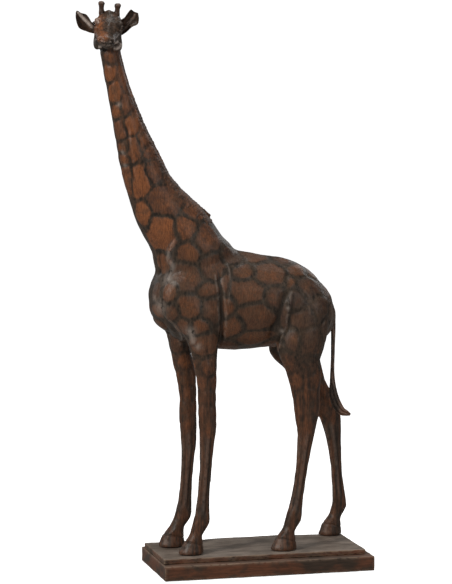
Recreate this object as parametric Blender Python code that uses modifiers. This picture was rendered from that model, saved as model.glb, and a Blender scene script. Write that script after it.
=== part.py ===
"""A carved giraffe standing on a stepped wooden plinth.

The animal faces -Y with its own left side toward +X, and +Z is up.  The origin
is the centre of the plinth's underside.  Sizes below are in millimetres and
become metres when a mesh is made.  The animal is shaped as one form, and then
sawn into the pieces that are dowelled and pegged together.
"""
import math

import bmesh
import bpy
from mathutils import Matrix, Vector

MM = 0.001
GAP = 0.3                      # clearance between neighbouring pieces

# Plinth
SLAB_LENGTH, SLAB_WIDTH, SLAB_TOP = 350.0, 172.0, 24.6
DECK_TOP = 33.25
DECK_FRONT, DECK_BACK = -173.0, 164.5
DECK_RIGHT, DECK_LEFT = -73.0, 70.0
PLINTH_EDGE = 1.2              # eased edge of both boards
SOLE = DECK_TOP + GAP          # height of the hooves' undersides
FELT_INSET, FELT_THICK = 7.0, 1.5

# Where the form is sawn into pieces
LEG_CUT = 350.0                # height of the level saw cut through all legs
NECK_TILT = math.radians(16.0)
NECK_CUT = Vector((0.0, -184.0, 640.0))
HEAD_CUT = Vector((0.0, -242.0, 834.0))

# Head: length along its own axis, and how it is turned
HEAD_BACK = Vector((-13.5, -240.5, 893.0))
HEAD_TURN, HEAD_PITCH, HEAD_ROLL = 76.0, 24.0, 9.0

# Dowels, pegs and fasteners (radius, length)
LEG_DOWEL = (5.0, 50.0)
NECK_DOWEL = (6.0, 60.0)
HEAD_DOWEL = (4.5, 40.0)
PEG_RADIUS, PEG_DEPTH = 2.4, 10.0
SOCKET_SLACK = 2.0        # spare depth at each end of a dowel's socket
SCREW_SEAT = 9.5               # height of the seat above each hoof screw's washer
WASHER_INNER, WASHER_OUTER, WASHER_THICK = 2.7, 6.0, 1.2
HOOF_SCREW_TIP, HOOF_SCREW_SHANK, HOOF_SCREW_HEAD = 62.0, 2.2, 4.4
HOOF_SCREW_HEAD_DEEP, SCREW_WELL = 3.4, 6.8
DECK_SCREW_LOW, DECK_SCREW_TIP, DECK_SCREW_SHANK, DECK_SCREW_HEAD = 2.4, 30.0, 1.9, 3.9
DECK_SCREW_SPOTS = {"front": -150.0, "rear": 105.0}
DECK_SCREW_SPREAD = 60.0
DOWEL_SIDES = 12

# One station: height, centre x, centre y, half width (x), half depth (y)
NECK = (
    (480, 0, -114, 44, 55), (520, 0, -107, 46, 69), (545, 0, -124.5, 44, 65),
    (570, 0, -139, 39, 63), (600, 0, -158, 33, 53.5), (637, 0, -182, 28, 40.5),
    (675, 0, -197, 24, 33.5), (732, 0, -216, 20, 24), (790, 0, -232, 17.5, 18.6),
    (837, 0, -242.5, 15.5, 16.4), (866, 0, -248.5, 15, 16), (888, -2, -250, 14, 15),
)
# One station: y, top, bottom, half width
BARREL = (
    (-178, 460, 428, 15), (-171, 484, 407, 33), (-155, 500, 392, 44),
    (-130, 522, 376, 51), (-90, 530, 364, 53), (-40, 523, 357.5, 55),
    (10, 513, 361, 55), (50, 506, 365, 54), (82, 490, 368, 50),
    (106, 466, 370, 42), (120, 448, 382, 31), (127, 430, 402, 14),
)
LEGS = {
    "front_left": (
        (475, 30, -112, 17, 30), (430, 35, -112, 21, 40), (395, 36, -105, 20, 31),
        (372, 36, -100, 17.5, 25), (338, 36.5, -96, 15, 19.5), (299, 37, -94, 13, 15.5),
        (262, 37.5, -93.5, 12.5, 15), (241, 37.5, -92.5, 12.5, 15), (212, 38, -94.5, 11, 13),
        (173, 38.5, -96.5, 9, 11), (125, 39, -100.5, 9, 11), (98, 39.5, -102.5, 10.5, 13),
        (83, 39.5, -105, 11, 14.5), (67, 40, -112, 10.5, 12.5), (55, 40, -116.5, 12.5, 15.5),
        (SOLE, 40, -122, 15.5, 22),
    ),
    "front_right": (
        (475, -28, -118, 16, 26), (430, -34, -124, 20, 34), (392, -36, -126, 19, 24),
        (360, -34.5, -121.5, 16, 17.5), (320, -34, -112.5, 14.5, 17.5), (281, -33, -108.5, 13, 14.5),
        (242, -32.5, -108.5, 12.5, 15), (205, -32, -107.5, 11, 13.5), (172, -31.5, -109.5, 9, 11),
        (120, -31, -113.5, 9, 11.5), (93, -30.5, -116.5, 11, 14), (80, -30, -120, 11, 14.5),
        (68, -30, -127.5, 10.5, 14.5), (54, -30, -134, 13, 18.5), (SOLE, -30, -138, 15.5, 23),
    ),
    "hind_left": (
        (472, 20, 66, 12, 24), (440, 31, 73, 22, 39), (400, 35, 69, 24, 40.5),
        (363, 38, 62.5, 22, 40.5), (343, 38.5, 62, 20, 33.5), (324, 38.5, 67, 18, 30),
        (284, 39, 71.5, 15, 24), (262, 39.5, 73, 13.5, 22), (245, 40, 72.5, 12.5, 19),
        (222, 40, 71, 11, 15), (186, 40.5, 66.5, 9.5, 12), (147, 41, 61, 9, 10.5),
        (110, 41.5, 54.5, 9.5, 11.5), (90, 42, 50.5, 11, 14), (78, 42, 47.5, 11, 14),
        (67, 42.5, 41.5, 10.5, 13.5), (55, 43, 36.5, 13, 17), (SOLE, 43, 32.5, 15.5, 22.5),
    ),
    "hind_right": (
        (472, -20, 66, 12, 24), (440, -31, 72, 21, 42), (400, -34, 72, 23, 44),
        (363, -37, 73, 21, 46), (343, -39, 76, 19, 43), (325, -40, 86, 17, 35),
        (302, -42, 100, 15, 27.5), (281, -44, 114, 13.5, 24.5), (262, -46, 126, 13, 24),
        (245, -48, 134, 12.5, 21.5), (230, -49, 140, 11.5, 18.5), (209, -50, 144, 10.5, 15.5),
        (185, -52, 147.5, 9.5, 12.5), (148, -54, 151.5, 9, 10), (108, -56, 156, 9.5, 11.5),
        (84, -58, 158, 11, 13), (66, -58.5, 150.5, 10.5, 13.5), (54, -58.5, 145, 13, 17),
        (SOLE, -59, 142, 15, 20),
    ),
}
# One station: distance from the back of the skull, half width, top, bottom
SKULL = (
    (0, 9, 6, -10), (6, 17, 15, -18), (16, 20.5, 20.5, -24), (28, 22, 23, -29),
    (42, 22.5, 17.5, -31), (54, 19.5, 11, -28), (66, 16.5, 6.5, -23), (78, 14.5, 4.5, -19.5),
    (88, 15, 5, -18), (95, 13.5, 3, -15), (100, 8.5, -1.5, -9),
)
# One station of the tail: x, y, z, radius
TAIL = (
    (0, 108, 429, 3.2), (0, 119, 428, 3.4), (0, 127, 419, 4.2), (0, 128.5, 398, 4.3),
    (0, 128.5, 360, 3.7), (-1, 128, 325, 3.6), (-2, 128.5, 300, 4.6), (-4, 130.5, 281, 6),
    (-6, 136, 264, 7), (-8, 145, 251, 6.6), (-10, 154, 246.5, 5), (-12, 163, 243.5, 1.5),
)
# The back line of the neck that the mane follows: y, height
MANE_LINE = (
    (-232, 856), (-214.5, 790), (-193, 732), (-164.5, 675), (-144.5, 637), (-108, 600), (-79, 576),
)
MANE_HALF_WIDTH, MANE_DEPTH, MANE_HEIGHT = 3.0, 7.0, 2.5
# The turned outline of a horn above and below the skull: radius, height
HORN = (
    (0, 18), (3.2, 17.2), (4.7, 14.8), (4.4, 12.4), (3.5, 10), (3.7, 6),
    (4.6, 3), (6.2, -0.5), (5.2, -2.5), (PEG_RADIUS, -2.5), (PEG_RADIUS, -11), (0, -11),
)
HORN_ROOT, HORN_LEAN_BACK = (12.5, -22.0, 18.0), 20.0
HORN_LEAN_OUT = {"left": -4.0, "right": 8.0}
EAR_LENGTH, EAR_HALF_WIDTH, EAR_CUP, EAR_THICK = 37.0, 12.0, 6.0, 2.4
EAR_ROOT = (22.5, -24.0, -6.5)
EAR_LIFT = {"left": 58.0, "right": 36.0}


def clear_scene():
    """Remove every object so that the script can be run again."""
    for thing in list(bpy.data.objects):
        bpy.data.objects.remove(thing, do_unlink=True)


def make_collection(name):
    """Return a new collection linked to the scene."""
    made = bpy.data.collections.new(name)
    bpy.context.scene.collection.children.link(made)
    return made


def make_material(name, colour, roughness, metallic=0.0):
    """Return a Principled material of one plain colour."""
    made = bpy.data.materials.new(name)
    made.use_nodes = True
    shader = made.node_tree.nodes["Principled BSDF"]
    shader.inputs["Base Color"].default_value = (*colour, 1.0)
    shader.inputs["Roughness"].default_value = roughness
    shader.inputs["Metallic"].default_value = metallic
    return made


def add_object(name, bm, collection, material=None):
    """Turn a bmesh in millimetres into an object in metres."""
    bmesh.ops.scale(bm, vec=(MM, MM, MM), verts=bm.verts)
    bmesh.ops.recalc_face_normals(bm, faces=bm.faces)
    mesh = bpy.data.meshes.new(name)
    bm.to_mesh(mesh)
    bm.free()
    if material:
        mesh.materials.append(material)
    made = bpy.data.objects.new(name, mesh)
    collection.objects.link(made)
    return made


def hide_cutter(cutter):
    """Show a cutter as wire and keep it out of renders."""
    cutter.hide_render = True
    cutter.display_type = "WIRE"
    return cutter


def box(low, high, matrix=Matrix.Identity(4)):
    """Return a bmesh box between two corners, moved by a matrix."""
    bm = bmesh.new()
    size = [b - a for a, b in zip(low, high)]
    middle = [(a + b) / 2 for a, b in zip(low, high)]
    place = matrix @ Matrix.Translation(middle) @ Matrix.Diagonal((*size, 1.0))
    bmesh.ops.create_cube(bm, size=1.0, matrix=place)
    return bm


def rod(bm, start, end, radius, end_radius=None, sides=DOWEL_SIDES):
    """Add a closed cylinder or cone from one point to another."""
    start, end = Vector(start), Vector(end)
    along = end - start
    turn = along.to_track_quat("Z", "Y").to_matrix().to_4x4()
    bmesh.ops.create_cone(
        bm, cap_ends=True, segments=sides, radius1=radius,
        radius2=radius if end_radius is None else end_radius, depth=along.length,
        matrix=Matrix.Translation((start + end) / 2) @ turn,
    )
    return bm


def smooth_stations(stations, steps):
    """Fill in stations along a Catmull-Rom curve through the given ones."""
    filled = []
    for i in range(len(stations) - 1):
        before = stations[max(i - 1, 0)]
        after = stations[min(i + 2, len(stations) - 1)]
        for step in range(steps):
            t = step / steps
            filled.append(tuple(
                0.5 * (2 * b + (c - a) * t + (2 * a - 5 * b + 4 * c - d) * t * t
                       + (3 * b - a - 3 * c + d) * t ** 3)
                for a, b, c, d in zip(before, stations[i], stations[i + 1], after)
            ))
    filled.append(tuple(stations[-1]))
    return filled


def loft(bm, rings):
    """Skin closed rings of equal length and cap both ends."""
    rows = [[bm.verts.new(point) for point in ring] for ring in rings]
    count = len(rows[0])
    for low, high in zip(rows, rows[1:]):
        for i in range(count):
            j = (i + 1) % count
            bm.faces.new((low[i], low[j], high[j], high[i]))
    bm.faces.new(rows[0][::-1])
    bm.faces.new(rows[-1])
    return bm


def circle_angles(sides):
    """Return equally spaced angles around a full turn."""
    return [2 * math.pi * i / sides for i in range(sides)]


def upright_rings(stations, sides=20):
    """Level ellipses, for the neck and the legs."""
    return [
        [(x + w * math.cos(a), y + d * math.sin(a), z) for a in circle_angles(sides)]
        for z, x, y, w, d in stations
    ]


def lengthwise_rings(stations, sides=24):
    """Upright ellipses along Y, for the barrel and the skull."""
    return [
        [(w * math.cos(a), y, (top + low) / 2 + (top - low) / 2 * math.sin(a))
         for a in circle_angles(sides)]
        for y, top, low, w in stations
    ]


def head_matrix():
    """Place of the head: skull's back at the origin, muzzle toward local -Y."""
    return (
        Matrix.Translation(HEAD_BACK)
        @ Matrix.Rotation(math.radians(HEAD_TURN), 4, "Z")
        @ Matrix.Rotation(math.radians(HEAD_PITCH), 4, "X")
        @ Matrix.Rotation(math.radians(HEAD_ROLL), 4, "Y")
    )


def ellipsoid(bm, centre, radii, matrix=Matrix.Identity(4)):
    """Add a stretched sphere, for a muscle or a bony knob."""
    place = matrix @ Matrix.Translation(centre) @ Matrix.Diagonal((*radii, 1.0))
    bmesh.ops.create_uvsphere(bm, u_segments=16, v_segments=10, radius=1.0, matrix=place)


def baked(source):
    """Replace an object by a plain mesh of what its modifiers show."""
    graph = bpy.context.evaluated_depsgraph_get()
    mesh = bpy.data.meshes.new_from_object(source.evaluated_get(graph))
    bpy.data.objects.remove(source, do_unlink=True)
    return mesh


def fuse(name, bm, scratch, voxel, triangles):
    """Melt overlapping shapes into one closed skin of about so many triangles."""
    form = add_object(name, bm, scratch)
    remesh = form.modifiers.new("melt", "REMESH")
    remesh.mode = "VOXEL"
    remesh.voxel_size = voxel * MM
    soften = form.modifiers.new("soften", "SMOOTH")
    soften.factor = 0.5
    soften.iterations = 6
    graph = bpy.context.evaluated_depsgraph_get()
    found = sum(len(p.vertices) - 2 for p in form.evaluated_get(graph).to_mesh().polygons)
    thin = form.modifiers.new("thin", "DECIMATE")
    thin.ratio = min(1.0, triangles / found)
    thin.use_collapse_triangulate = True
    return baked(form)


def animal_form(scratch):
    """The barrel, neck and legs melted into one skin."""
    bm = bmesh.new()
    loft(bm, upright_rings(smooth_stations(NECK, 2)))
    loft(bm, lengthwise_rings(smooth_stations(BARREL, 2)))
    for stations in LEGS.values():
        loft(bm, upright_rings(smooth_stations(stations, 2)))
    ellipsoid(bm, (34, -134, 446), (21, 36, 42))
    ellipsoid(bm, (-34, -134, 446), (21, 36, 42))
    return fuse("animal_form", bm, scratch, 4.0, 5800)


def head_form(scratch):
    """The skull, cheeks, brows and upper throat melted into one skin."""
    place = head_matrix()
    bm = bmesh.new()
    stations = [(-a, top, low, w) for a, w, top, low in smooth_stations(SKULL, 2)]
    rings = lengthwise_rings(stations)
    loft(bm, [[place @ Vector(point) for point in ring] for ring in rings])
    for side in (-1, 1):
        ellipsoid(bm, (16 * side, -38, -22), (7.5, 17, 12), place)
        ellipsoid(bm, (18.5 * side, -41, 3.5), (5.4, 7.5, 6.2), place)
    throat = [station for station in NECK if station[0] >= 790]
    loft(bm, upright_rings(smooth_stations(throat, 3)))
    return fuse("head_form", bm, scratch, 2.2, 1500)


def cut_with(target, cutter, operation):
    """Put an exact Boolean on a piece."""
    saw = target.modifiers.new(cutter.name, "BOOLEAN")
    saw.operation = operation
    saw.solver = "EXACT"
    saw.object = cutter


def from_form(name, mesh, regions, collection, material):
    """A piece that is the part of a form inside every one of its regions."""
    piece = bpy.data.objects.new(name, mesh.copy())
    piece.data.materials.clear()
    piece.data.materials.append(material)
    collection.objects.link(piece)
    for region in regions:
        cut_with(piece, region, "INTERSECT")
    return piece


def tilted(point):
    """Matrix of a saw cut square to the neck's line, seated at a point."""
    return Matrix.Translation(point) @ Matrix.Rotation(NECK_TILT, 4, "X")


def regions(scratch):
    """The boxes that divide the form into torso, neck, head and legs."""
    reach, half = 700.0, GAP / 2
    neck_height = (tilted(NECK_CUT).inverted() @ HEAD_CUT).z
    shapes = {
        "above_legs": box((-reach, -reach, LEG_CUT + half), (reach, reach, 2 * reach)),
        "below_neck": box((-reach, -reach, -reach), (reach, reach, -half), tilted(NECK_CUT)),
        "neck_zone": box((-60, -200, half), (60, 200, neck_height - half), tilted(NECK_CUT)),
        "head_zone": box((-60, -90, half), (110, 60, 120), tilted(HEAD_CUT)),
    }
    for name, stations in LEGS.items():
        side = 1 if stations[0][1] > 0 else -1
        along = (-reach, -20) if "front" in name else (-20, reach)
        across = sorted((side * 1.0, side * reach))
        low = (across[0], along[0], SOLE)
        shapes[name] = box(low, (across[1], along[1], LEG_CUT - half))
    return {
        name: hide_cutter(add_object("region_" + name, bm, scratch))
        for name, bm in shapes.items()
    }


def leg_point(name, height):
    """Centre of a leg at a height, straight between its two nearest stations."""
    stations = LEGS[name]
    for upper, lower in zip(stations, stations[1:]):
        if upper[0] >= height >= lower[0]:
            t = (height - lower[0]) / (upper[0] - lower[0])
            return Vector((
                lower[1] + t * (upper[1] - lower[1]), lower[2] + t * (upper[2] - lower[2]), height,
            ))
    raise ValueError(name)


def dowel_line(middle, length, tilt=0.0):
    """Both ends of a dowel centred on a point, leaning with the neck."""
    along = Matrix.Rotation(tilt, 3, "X") @ Vector((0, 0, length / 2))
    return middle - along, middle + along


def add_dowel(name, middle, size, tilt, pieces, parts, scratch, material):
    """A dowel and its matching socket in each of the pieces it joins."""
    radius, length = size
    start, end = dowel_line(middle, length, tilt)
    dowel = add_object(name, rod(bmesh.new(), start, end, radius), parts, material)
    start, end = dowel_line(middle, length + 2 * SOCKET_SLACK, tilt)
    socket = add_object("socket_" + name, rod(bmesh.new(), start, end, radius + GAP), scratch)
    for piece in pieces:
        cut_with(piece, hide_cutter(socket), "DIFFERENCE")
    return dowel


def turned(name, outline, place, collection, material=None, sides=DOWEL_SIDES):
    """Turn an outline of (radius, height), listed from the top down, about its axis."""
    mesh = bpy.data.meshes.new(name)
    points = [(radius * MM, 0.0, height * MM) for radius, height in outline]
    edges = [(i, i + 1) for i in range(len(points) - 1)]
    if outline[0][0] > 0:
        edges.append((len(points) - 1, 0))
    mesh.from_pydata(points, edges, [])
    if material:
        mesh.materials.append(material)
    made = bpy.data.objects.new(name, mesh)
    rotation = place.to_quaternion().to_matrix().to_4x4()
    made.matrix_world = Matrix.Translation(place.to_translation() * MM) @ rotation
    collection.objects.link(made)
    spin = made.modifiers.new("turn", "SCREW")
    spin.steps = spin.render_steps = sides
    spin.use_merge_vertices = True
    spin.merge_threshold = 0.00005
    return made


def horn_place(side, lean_out):
    """Matrix of a horn's seat on the skull; side is 1 for left, -1 for right."""
    across, along, up = HORN_ROOT
    return (
        head_matrix() @ Matrix.Translation((side * across, along, up))
        @ Matrix.Rotation(math.radians(-HORN_LEAN_BACK), 4, "X")
        @ Matrix.Rotation(math.radians(side * lean_out), 4, "Y")
    )


def grown(outline, amount):
    """An outline moved outward, for the seat that a turned piece fits in."""
    middle = sum(height for _, height in outline) / len(outline)
    return [
        (radius + amount if radius else 0.0, height + math.copysign(amount, height - middle))
        for radius, height in outline
    ]


def add_horns(head, parts, scratch, material):
    """Both horns, pegged into the top of the skull."""
    for side, word in ((1, "left"), (-1, "right")):
        place = horn_place(side, HORN_LEAN_OUT[word])
        turned("horn_" + word, HORN, place, parts, material)
        seat = turned("seat_horn_" + word, grown(HORN, GAP), place, scratch)
        cut_with(head, hide_cutter(seat), "DIFFERENCE")


def ear_blade(name, place, grow, collection, scratch, material=None):
    """A cupped leaf on a short peg; grow makes it larger all round."""
    bm = bmesh.new()
    rows, columns = 9, 6
    grid = []
    for i in range(rows):
        u = 0.08 + 0.88 * i / (rows - 1)
        half = EAR_HALF_WIDTH * math.sin(math.pi * u ** 0.7) ** 0.75
        wider = 1 + 2 * grow / half
        height = EAR_LENGTH * u + 3 * grow * ((i == rows - 1) - (i == 0))
        grid.append([
            bm.verts.new((half * v, EAR_CUP * (v * v - 1) * math.sin(math.pi * u), height))
            for v in (wider * (2 * j / columns - 1) for j in range(columns + 1))
        ])
    for low, high in zip(grid, grid[1:]):
        for j in range(columns):
            bm.faces.new((low[j], low[j + 1], high[j + 1], high[j]))
    bmesh.ops.transform(bm, matrix=place, verts=bm.verts)
    blade = add_object(name, bm, collection, material)
    shell = blade.modifiers.new("thickness", "SOLIDIFY")
    shell.thickness = (EAR_THICK + 2 * grow) * MM
    shell.offset = 0.0
    shell.use_even_offset = True
    peg = add_object("stem_" + name, rod(
        bmesh.new(), place @ Vector((0, 0, -PEG_DEPTH - grow)), place @ Vector((0, 0.5, 6)),
        PEG_RADIUS + grow,
    ), scratch)
    cut_with(blade, hide_cutter(peg), "UNION")
    return blade


def add_ears(head, parts, scratch, material):
    """Both ears, each pegged into the side of the skull with the cup forward."""
    for side, word in ((1, "left"), (-1, "right")):
        across, along, up = EAR_ROOT
        place = (
            head_matrix() @ Matrix.Translation((side * across, along, up))
            @ Matrix.Rotation(math.radians(side * (90 - EAR_LIFT[word])), 4, "Y")
            @ Matrix.Rotation(math.radians(180), 4, "Z")
        )
        ear_blade("ear_" + word, place, 0.0, parts, scratch, material)
        seat = ear_blade("seat_ear_" + word, place, 2 * GAP, scratch, scratch)
        cut_with(head, hide_cutter(seat), "DIFFERENCE")


def mane_rings(grow):
    """Six-sided sections along the back line, narrow on top."""
    line = smooth_stations(MANE_LINE, 4)
    line = [Vector((0.0, y, z)) for y, z in line]
    rings = []
    for i, point in enumerate(line):
        along = (line[min(i + 1, len(line) - 1)] - line[max(i - 1, 0)]).normalized()
        out = Vector((0.0, -along.z, along.y))
        end = along * grow * ((i == len(line) - 1) - (i == 0))
        wide = Vector((MANE_HALF_WIDTH + grow, 0, 0))
        low, high = out * (MANE_DEPTH + grow), out * (MANE_HEIGHT + grow)
        middle = point + end
        rings.append([
            middle - wide - low, middle + wide - low, middle + wide,
            middle + wide * 0.45 + high, middle - wide * 0.45 + high, middle - wide,
        ])
    return rings


def add_mane(pieces, parts, scratch, material):
    """The mane strip, let into a groove down the back of the neck."""
    add_object("mane", loft(bmesh.new(), mane_rings(0.0)), parts, material)
    groove = add_object("mane_groove", loft(bmesh.new(), mane_rings(GAP)), scratch)
    for piece in pieces:
        cut_with(piece, hide_cutter(groove), "DIFFERENCE")


def cord(name, stations, collection, material=None):
    """A round cord through stations of x, y, z and radius, as a closed mesh."""
    curve = bpy.data.curves.new(name, "CURVE")
    curve.dimensions = "3D"
    curve.bevel_depth = MM
    curve.bevel_resolution = 2
    curve.use_fill_caps = True
    spline = curve.splines.new("POLY")
    spline.points.add(len(stations) - 1)
    for point, (x, y, z, radius) in zip(spline.points, stations):
        point.co = (x * MM, y * MM, z * MM, 1.0)
        point.radius = radius
    drawn = bpy.data.objects.new(name + "_curve", curve)
    collection.objects.link(drawn)
    mesh = baked(drawn)
    bm = bmesh.new()
    bm.from_mesh(mesh)
    bmesh.ops.remove_doubles(bm, verts=bm.verts, dist=0.00001)
    bm.to_mesh(mesh)
    bm.free()
    if material:
        mesh.materials.append(material)
    made = bpy.data.objects.new(name, mesh)
    collection.objects.link(made)
    return made


def add_tail(torso, parts, scratch, material):
    """The tail, with its root let into the rump."""
    stations = smooth_stations(TAIL, 2)
    cord("tail", stations, parts, material)
    root = [(x, y, z, radius + GAP) for x, y, z, radius in stations[:9]]
    root[0] = (root[0][0], root[0][1] - 1.0, *root[0][2:])
    socket = cord("tail_socket", root, scratch)
    cut_with(torso, hide_cutter(socket), "DIFFERENCE")


def eased(piece, width):
    """Round the edges of a board."""
    bevel = piece.modifiers.new("eased edges", "BEVEL")
    bevel.width = width * MM
    bevel.segments = 2
    return piece


def add_plinth(parts, scratch, wood, felt):
    """The slab, the thinner deck on it and the felt let into its underside."""
    long, wide = SLAB_LENGTH / 2, SLAB_WIDTH / 2
    slab = add_object("plinth_slab", box((-wide, -long, GAP), (wide, long, SLAB_TOP)), parts, wood)
    deck = add_object("plinth_deck", box(
        (DECK_RIGHT, DECK_FRONT, SLAB_TOP + GAP), (DECK_LEFT, DECK_BACK, DECK_TOP),
    ), parts, wood)
    eased(slab, PLINTH_EDGE)
    eased(deck, PLINTH_EDGE)
    pocket_wide, pocket_long = wide - FELT_INSET, long - FELT_INSET
    pocket = add_object("felt_pocket", box(
        (-pocket_wide, -pocket_long, -1), (pocket_wide, pocket_long, FELT_THICK + GAP),
    ), scratch)
    cut_with(slab, hide_cutter(pocket), "DIFFERENCE")
    felt_wide, felt_long = pocket_wide - GAP, pocket_long - GAP
    add_object("base_felt", box(
        (-felt_wide, -felt_long, 0), (felt_wide, felt_long, FELT_THICK),
    ), parts, felt)
    return slab, deck


def upward(x, y, z):
    """Matrix of a screw driven up from beneath, with its head's top at a height."""
    return Matrix.Translation((x, y, z)) @ Matrix.Rotation(math.pi, 4, "X")


def add_hoof_screws(slab, deck, legs, parts, scratch, steel):
    """A washer and a long screw from under the slab into each hoof."""
    washer_top = SCREW_SEAT - GAP
    head_low = washer_top - WASHER_THICK - GAP - HOOF_SCREW_HEAD_DEEP
    length = HOOF_SCREW_TIP - head_low
    outline = [
        (0, 0), (HOOF_SCREW_HEAD - 1, 0), (HOOF_SCREW_HEAD, -1.6),
        (HOOF_SCREW_HEAD, -HOOF_SCREW_HEAD_DEEP), (HOOF_SCREW_SHANK, -HOOF_SCREW_HEAD_DEEP),
        (HOOF_SCREW_SHANK, 4 - length), (0, -length),
    ]
    ring = [
        (WASHER_INNER, 0), (WASHER_OUTER, 0),
        (WASHER_OUTER, -WASHER_THICK), (WASHER_INNER, -WASHER_THICK),
    ]
    for name, leg in legs.items():
        x, y, _ = leg_point(name, HOOF_SCREW_TIP)
        turned("hoof_screw_" + name, outline, upward(x, y, head_low), parts, steel)
        seat = Matrix.Translation((x, y, washer_top))
        turned("hoof_washer_" + name, ring, seat, parts, steel)
        bore = rod(bmesh.new(), (x, y, -1), (x, y, SCREW_SEAT), SCREW_WELL)
        cut_with(slab, hide_cutter(add_object("screw_well_" + name, bore, scratch)), "DIFFERENCE")
        shank = rod(bmesh.new(), (x, y, -2), (x, y, HOOF_SCREW_TIP + 1), HOOF_SCREW_SHANK + GAP)
        drill = hide_cutter(add_object("screw_hole_" + name, shank, scratch))
        for piece in (slab, deck, leg):
            cut_with(piece, drill, "DIFFERENCE")


def add_deck_screws(slab, deck, parts, scratch, steel):
    """Four countersunk screws that hold the deck down from beneath."""
    length = DECK_SCREW_TIP - DECK_SCREW_LOW
    cone = DECK_SCREW_HEAD - DECK_SCREW_SHANK
    outline = [
        (0, 0), (DECK_SCREW_HEAD, 0), (DECK_SCREW_SHANK, -cone),
        (DECK_SCREW_SHANK, 3 - length), (0, -length),
    ]
    wide, narrow = DECK_SCREW_HEAD + GAP, DECK_SCREW_SHANK + GAP
    hole = [
        (0, 4), (wide, 4), (wide, -GAP), (narrow, -GAP - cone),
        (narrow, -length - GAP), (0, -length - GAP),
    ]
    for end, along in DECK_SCREW_SPOTS.items():
        for side, across in (("left", DECK_SCREW_SPREAD), ("right", -DECK_SCREW_SPREAD)):
            place = upward(across, along, DECK_SCREW_LOW)
            name = f"{end}_{side}"
            turned("deck_screw_" + name, outline, place, parts, steel)
            drill = hide_cutter(turned("deck_hole_" + name, hole, place, scratch))
            for piece in (slab, deck):
                cut_with(piece, drill, "DIFFERENCE")


def shade(parts):
    """Shade rounded pieces smooth and keep sawn edges crisp."""
    for piece in parts.objects:
        piece.data.shade_smooth()


def build():
    """Make every piece of the statue."""
    clear_scene()
    parts = make_collection("carved_giraffe")
    scratch = make_collection("cutters")
    coat = make_material("stained_carved_wood", (0.16, 0.066, 0.036), 0.42)
    dark = make_material("dark_stained_wood", (0.07, 0.042, 0.03), 0.45)
    board = make_material("plinth_wood", (0.13, 0.082, 0.06), 0.5)
    beech = make_material("dowel_beech", (0.55, 0.38, 0.22), 0.6)
    steel = make_material("zinc_steel", (0.6, 0.6, 0.58), 0.35, 1.0)
    felt = make_material("black_felt", (0.03, 0.03, 0.03), 0.95)

    form, zones = animal_form(scratch), regions(scratch)
    torso = from_form("torso", form, (zones["above_legs"], zones["below_neck"]), parts, coat)
    neck = from_form("neck", form, (zones["neck_zone"],), parts, coat)
    legs = {
        name: from_form(name + "_leg", form, (zones[name],), parts, coat) for name in LEGS
    }
    head = from_form("head", head_form(scratch), (zones["head_zone"],), parts, coat)

    for name, leg in legs.items():
        spot = leg_point(name, LEG_CUT)
        add_dowel("leg_dowel_" + name, spot, LEG_DOWEL, 0.0, (leg, torso), parts, scratch, beech)
    for offset, word in ((-20, "front"), (11, "rear")):
        spot = tilted(NECK_CUT) @ Vector((0, offset, 0))
        add_dowel("neck_dowel_" + word, spot, NECK_DOWEL, NECK_TILT, (neck, torso),
                  parts, scratch, beech)
    add_dowel("head_dowel", HEAD_CUT.copy(), HEAD_DOWEL, NECK_TILT, (neck, head),
              parts, scratch, beech)
    add_horns(head, parts, scratch, coat)
    add_ears(head, parts, scratch, coat)
    add_mane((head, neck, torso), parts, scratch, dark)
    add_tail(torso, parts, scratch, coat)
    slab, deck = add_plinth(parts, scratch, board, felt)
    add_hoof_screws(slab, deck, legs, parts, scratch, steel)
    add_deck_screws(slab, deck, parts, scratch, steel)
    shade(parts)


build()
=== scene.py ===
"""Looks of the carved giraffe: a stained wooden animal on a stepped plinth.

Lengths are millimetres in the frame's own axes: the animal faces -Y, its left
side is toward +X and +Z is up.  The CAD pieces of the animal are melted into
one skin, which is carved and spotted and then sawn again at the CAD's cuts, so
that the carving runs on from piece to piece.
"""
import math

import bmesh
import bpy
import numpy as np
from mathutils import Matrix, Vector, noise
from mathutils.bvhtree import BVHTree


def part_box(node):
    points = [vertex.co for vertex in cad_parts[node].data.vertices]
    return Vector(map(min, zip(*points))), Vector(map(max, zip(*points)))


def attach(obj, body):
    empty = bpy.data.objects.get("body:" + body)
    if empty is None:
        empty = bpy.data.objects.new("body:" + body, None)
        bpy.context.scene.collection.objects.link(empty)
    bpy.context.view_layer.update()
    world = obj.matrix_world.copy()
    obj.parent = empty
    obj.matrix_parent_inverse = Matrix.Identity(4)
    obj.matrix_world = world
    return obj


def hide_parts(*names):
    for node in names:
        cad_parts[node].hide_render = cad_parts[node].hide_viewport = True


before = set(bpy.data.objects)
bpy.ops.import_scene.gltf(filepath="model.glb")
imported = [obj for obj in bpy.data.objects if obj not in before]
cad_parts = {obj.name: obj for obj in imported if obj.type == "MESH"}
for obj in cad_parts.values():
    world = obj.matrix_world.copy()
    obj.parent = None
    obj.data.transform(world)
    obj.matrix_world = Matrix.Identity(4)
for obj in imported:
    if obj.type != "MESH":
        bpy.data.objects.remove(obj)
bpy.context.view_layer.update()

noise.seed_set(11)             # noise vectors would otherwise start from the clock

MM = 0.001
VOXEL = 1.4                    # size of the skin's faces
POINTS_AT_ONCE = 8000          # how many points are measured against the spots at a time
LEGS = ("front_left", "front_right", "hind_left", "hind_right")
LEGS_PARTED = -20              # y between the front and the hind legs
CAP_CORNERS = 8                # only the flat caps of saw cuts have more corners
SHARP = 75                     # degrees from which an edge is shaded as a crease
SOLE = 33.55                   # height of the hooves' undersides

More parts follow.
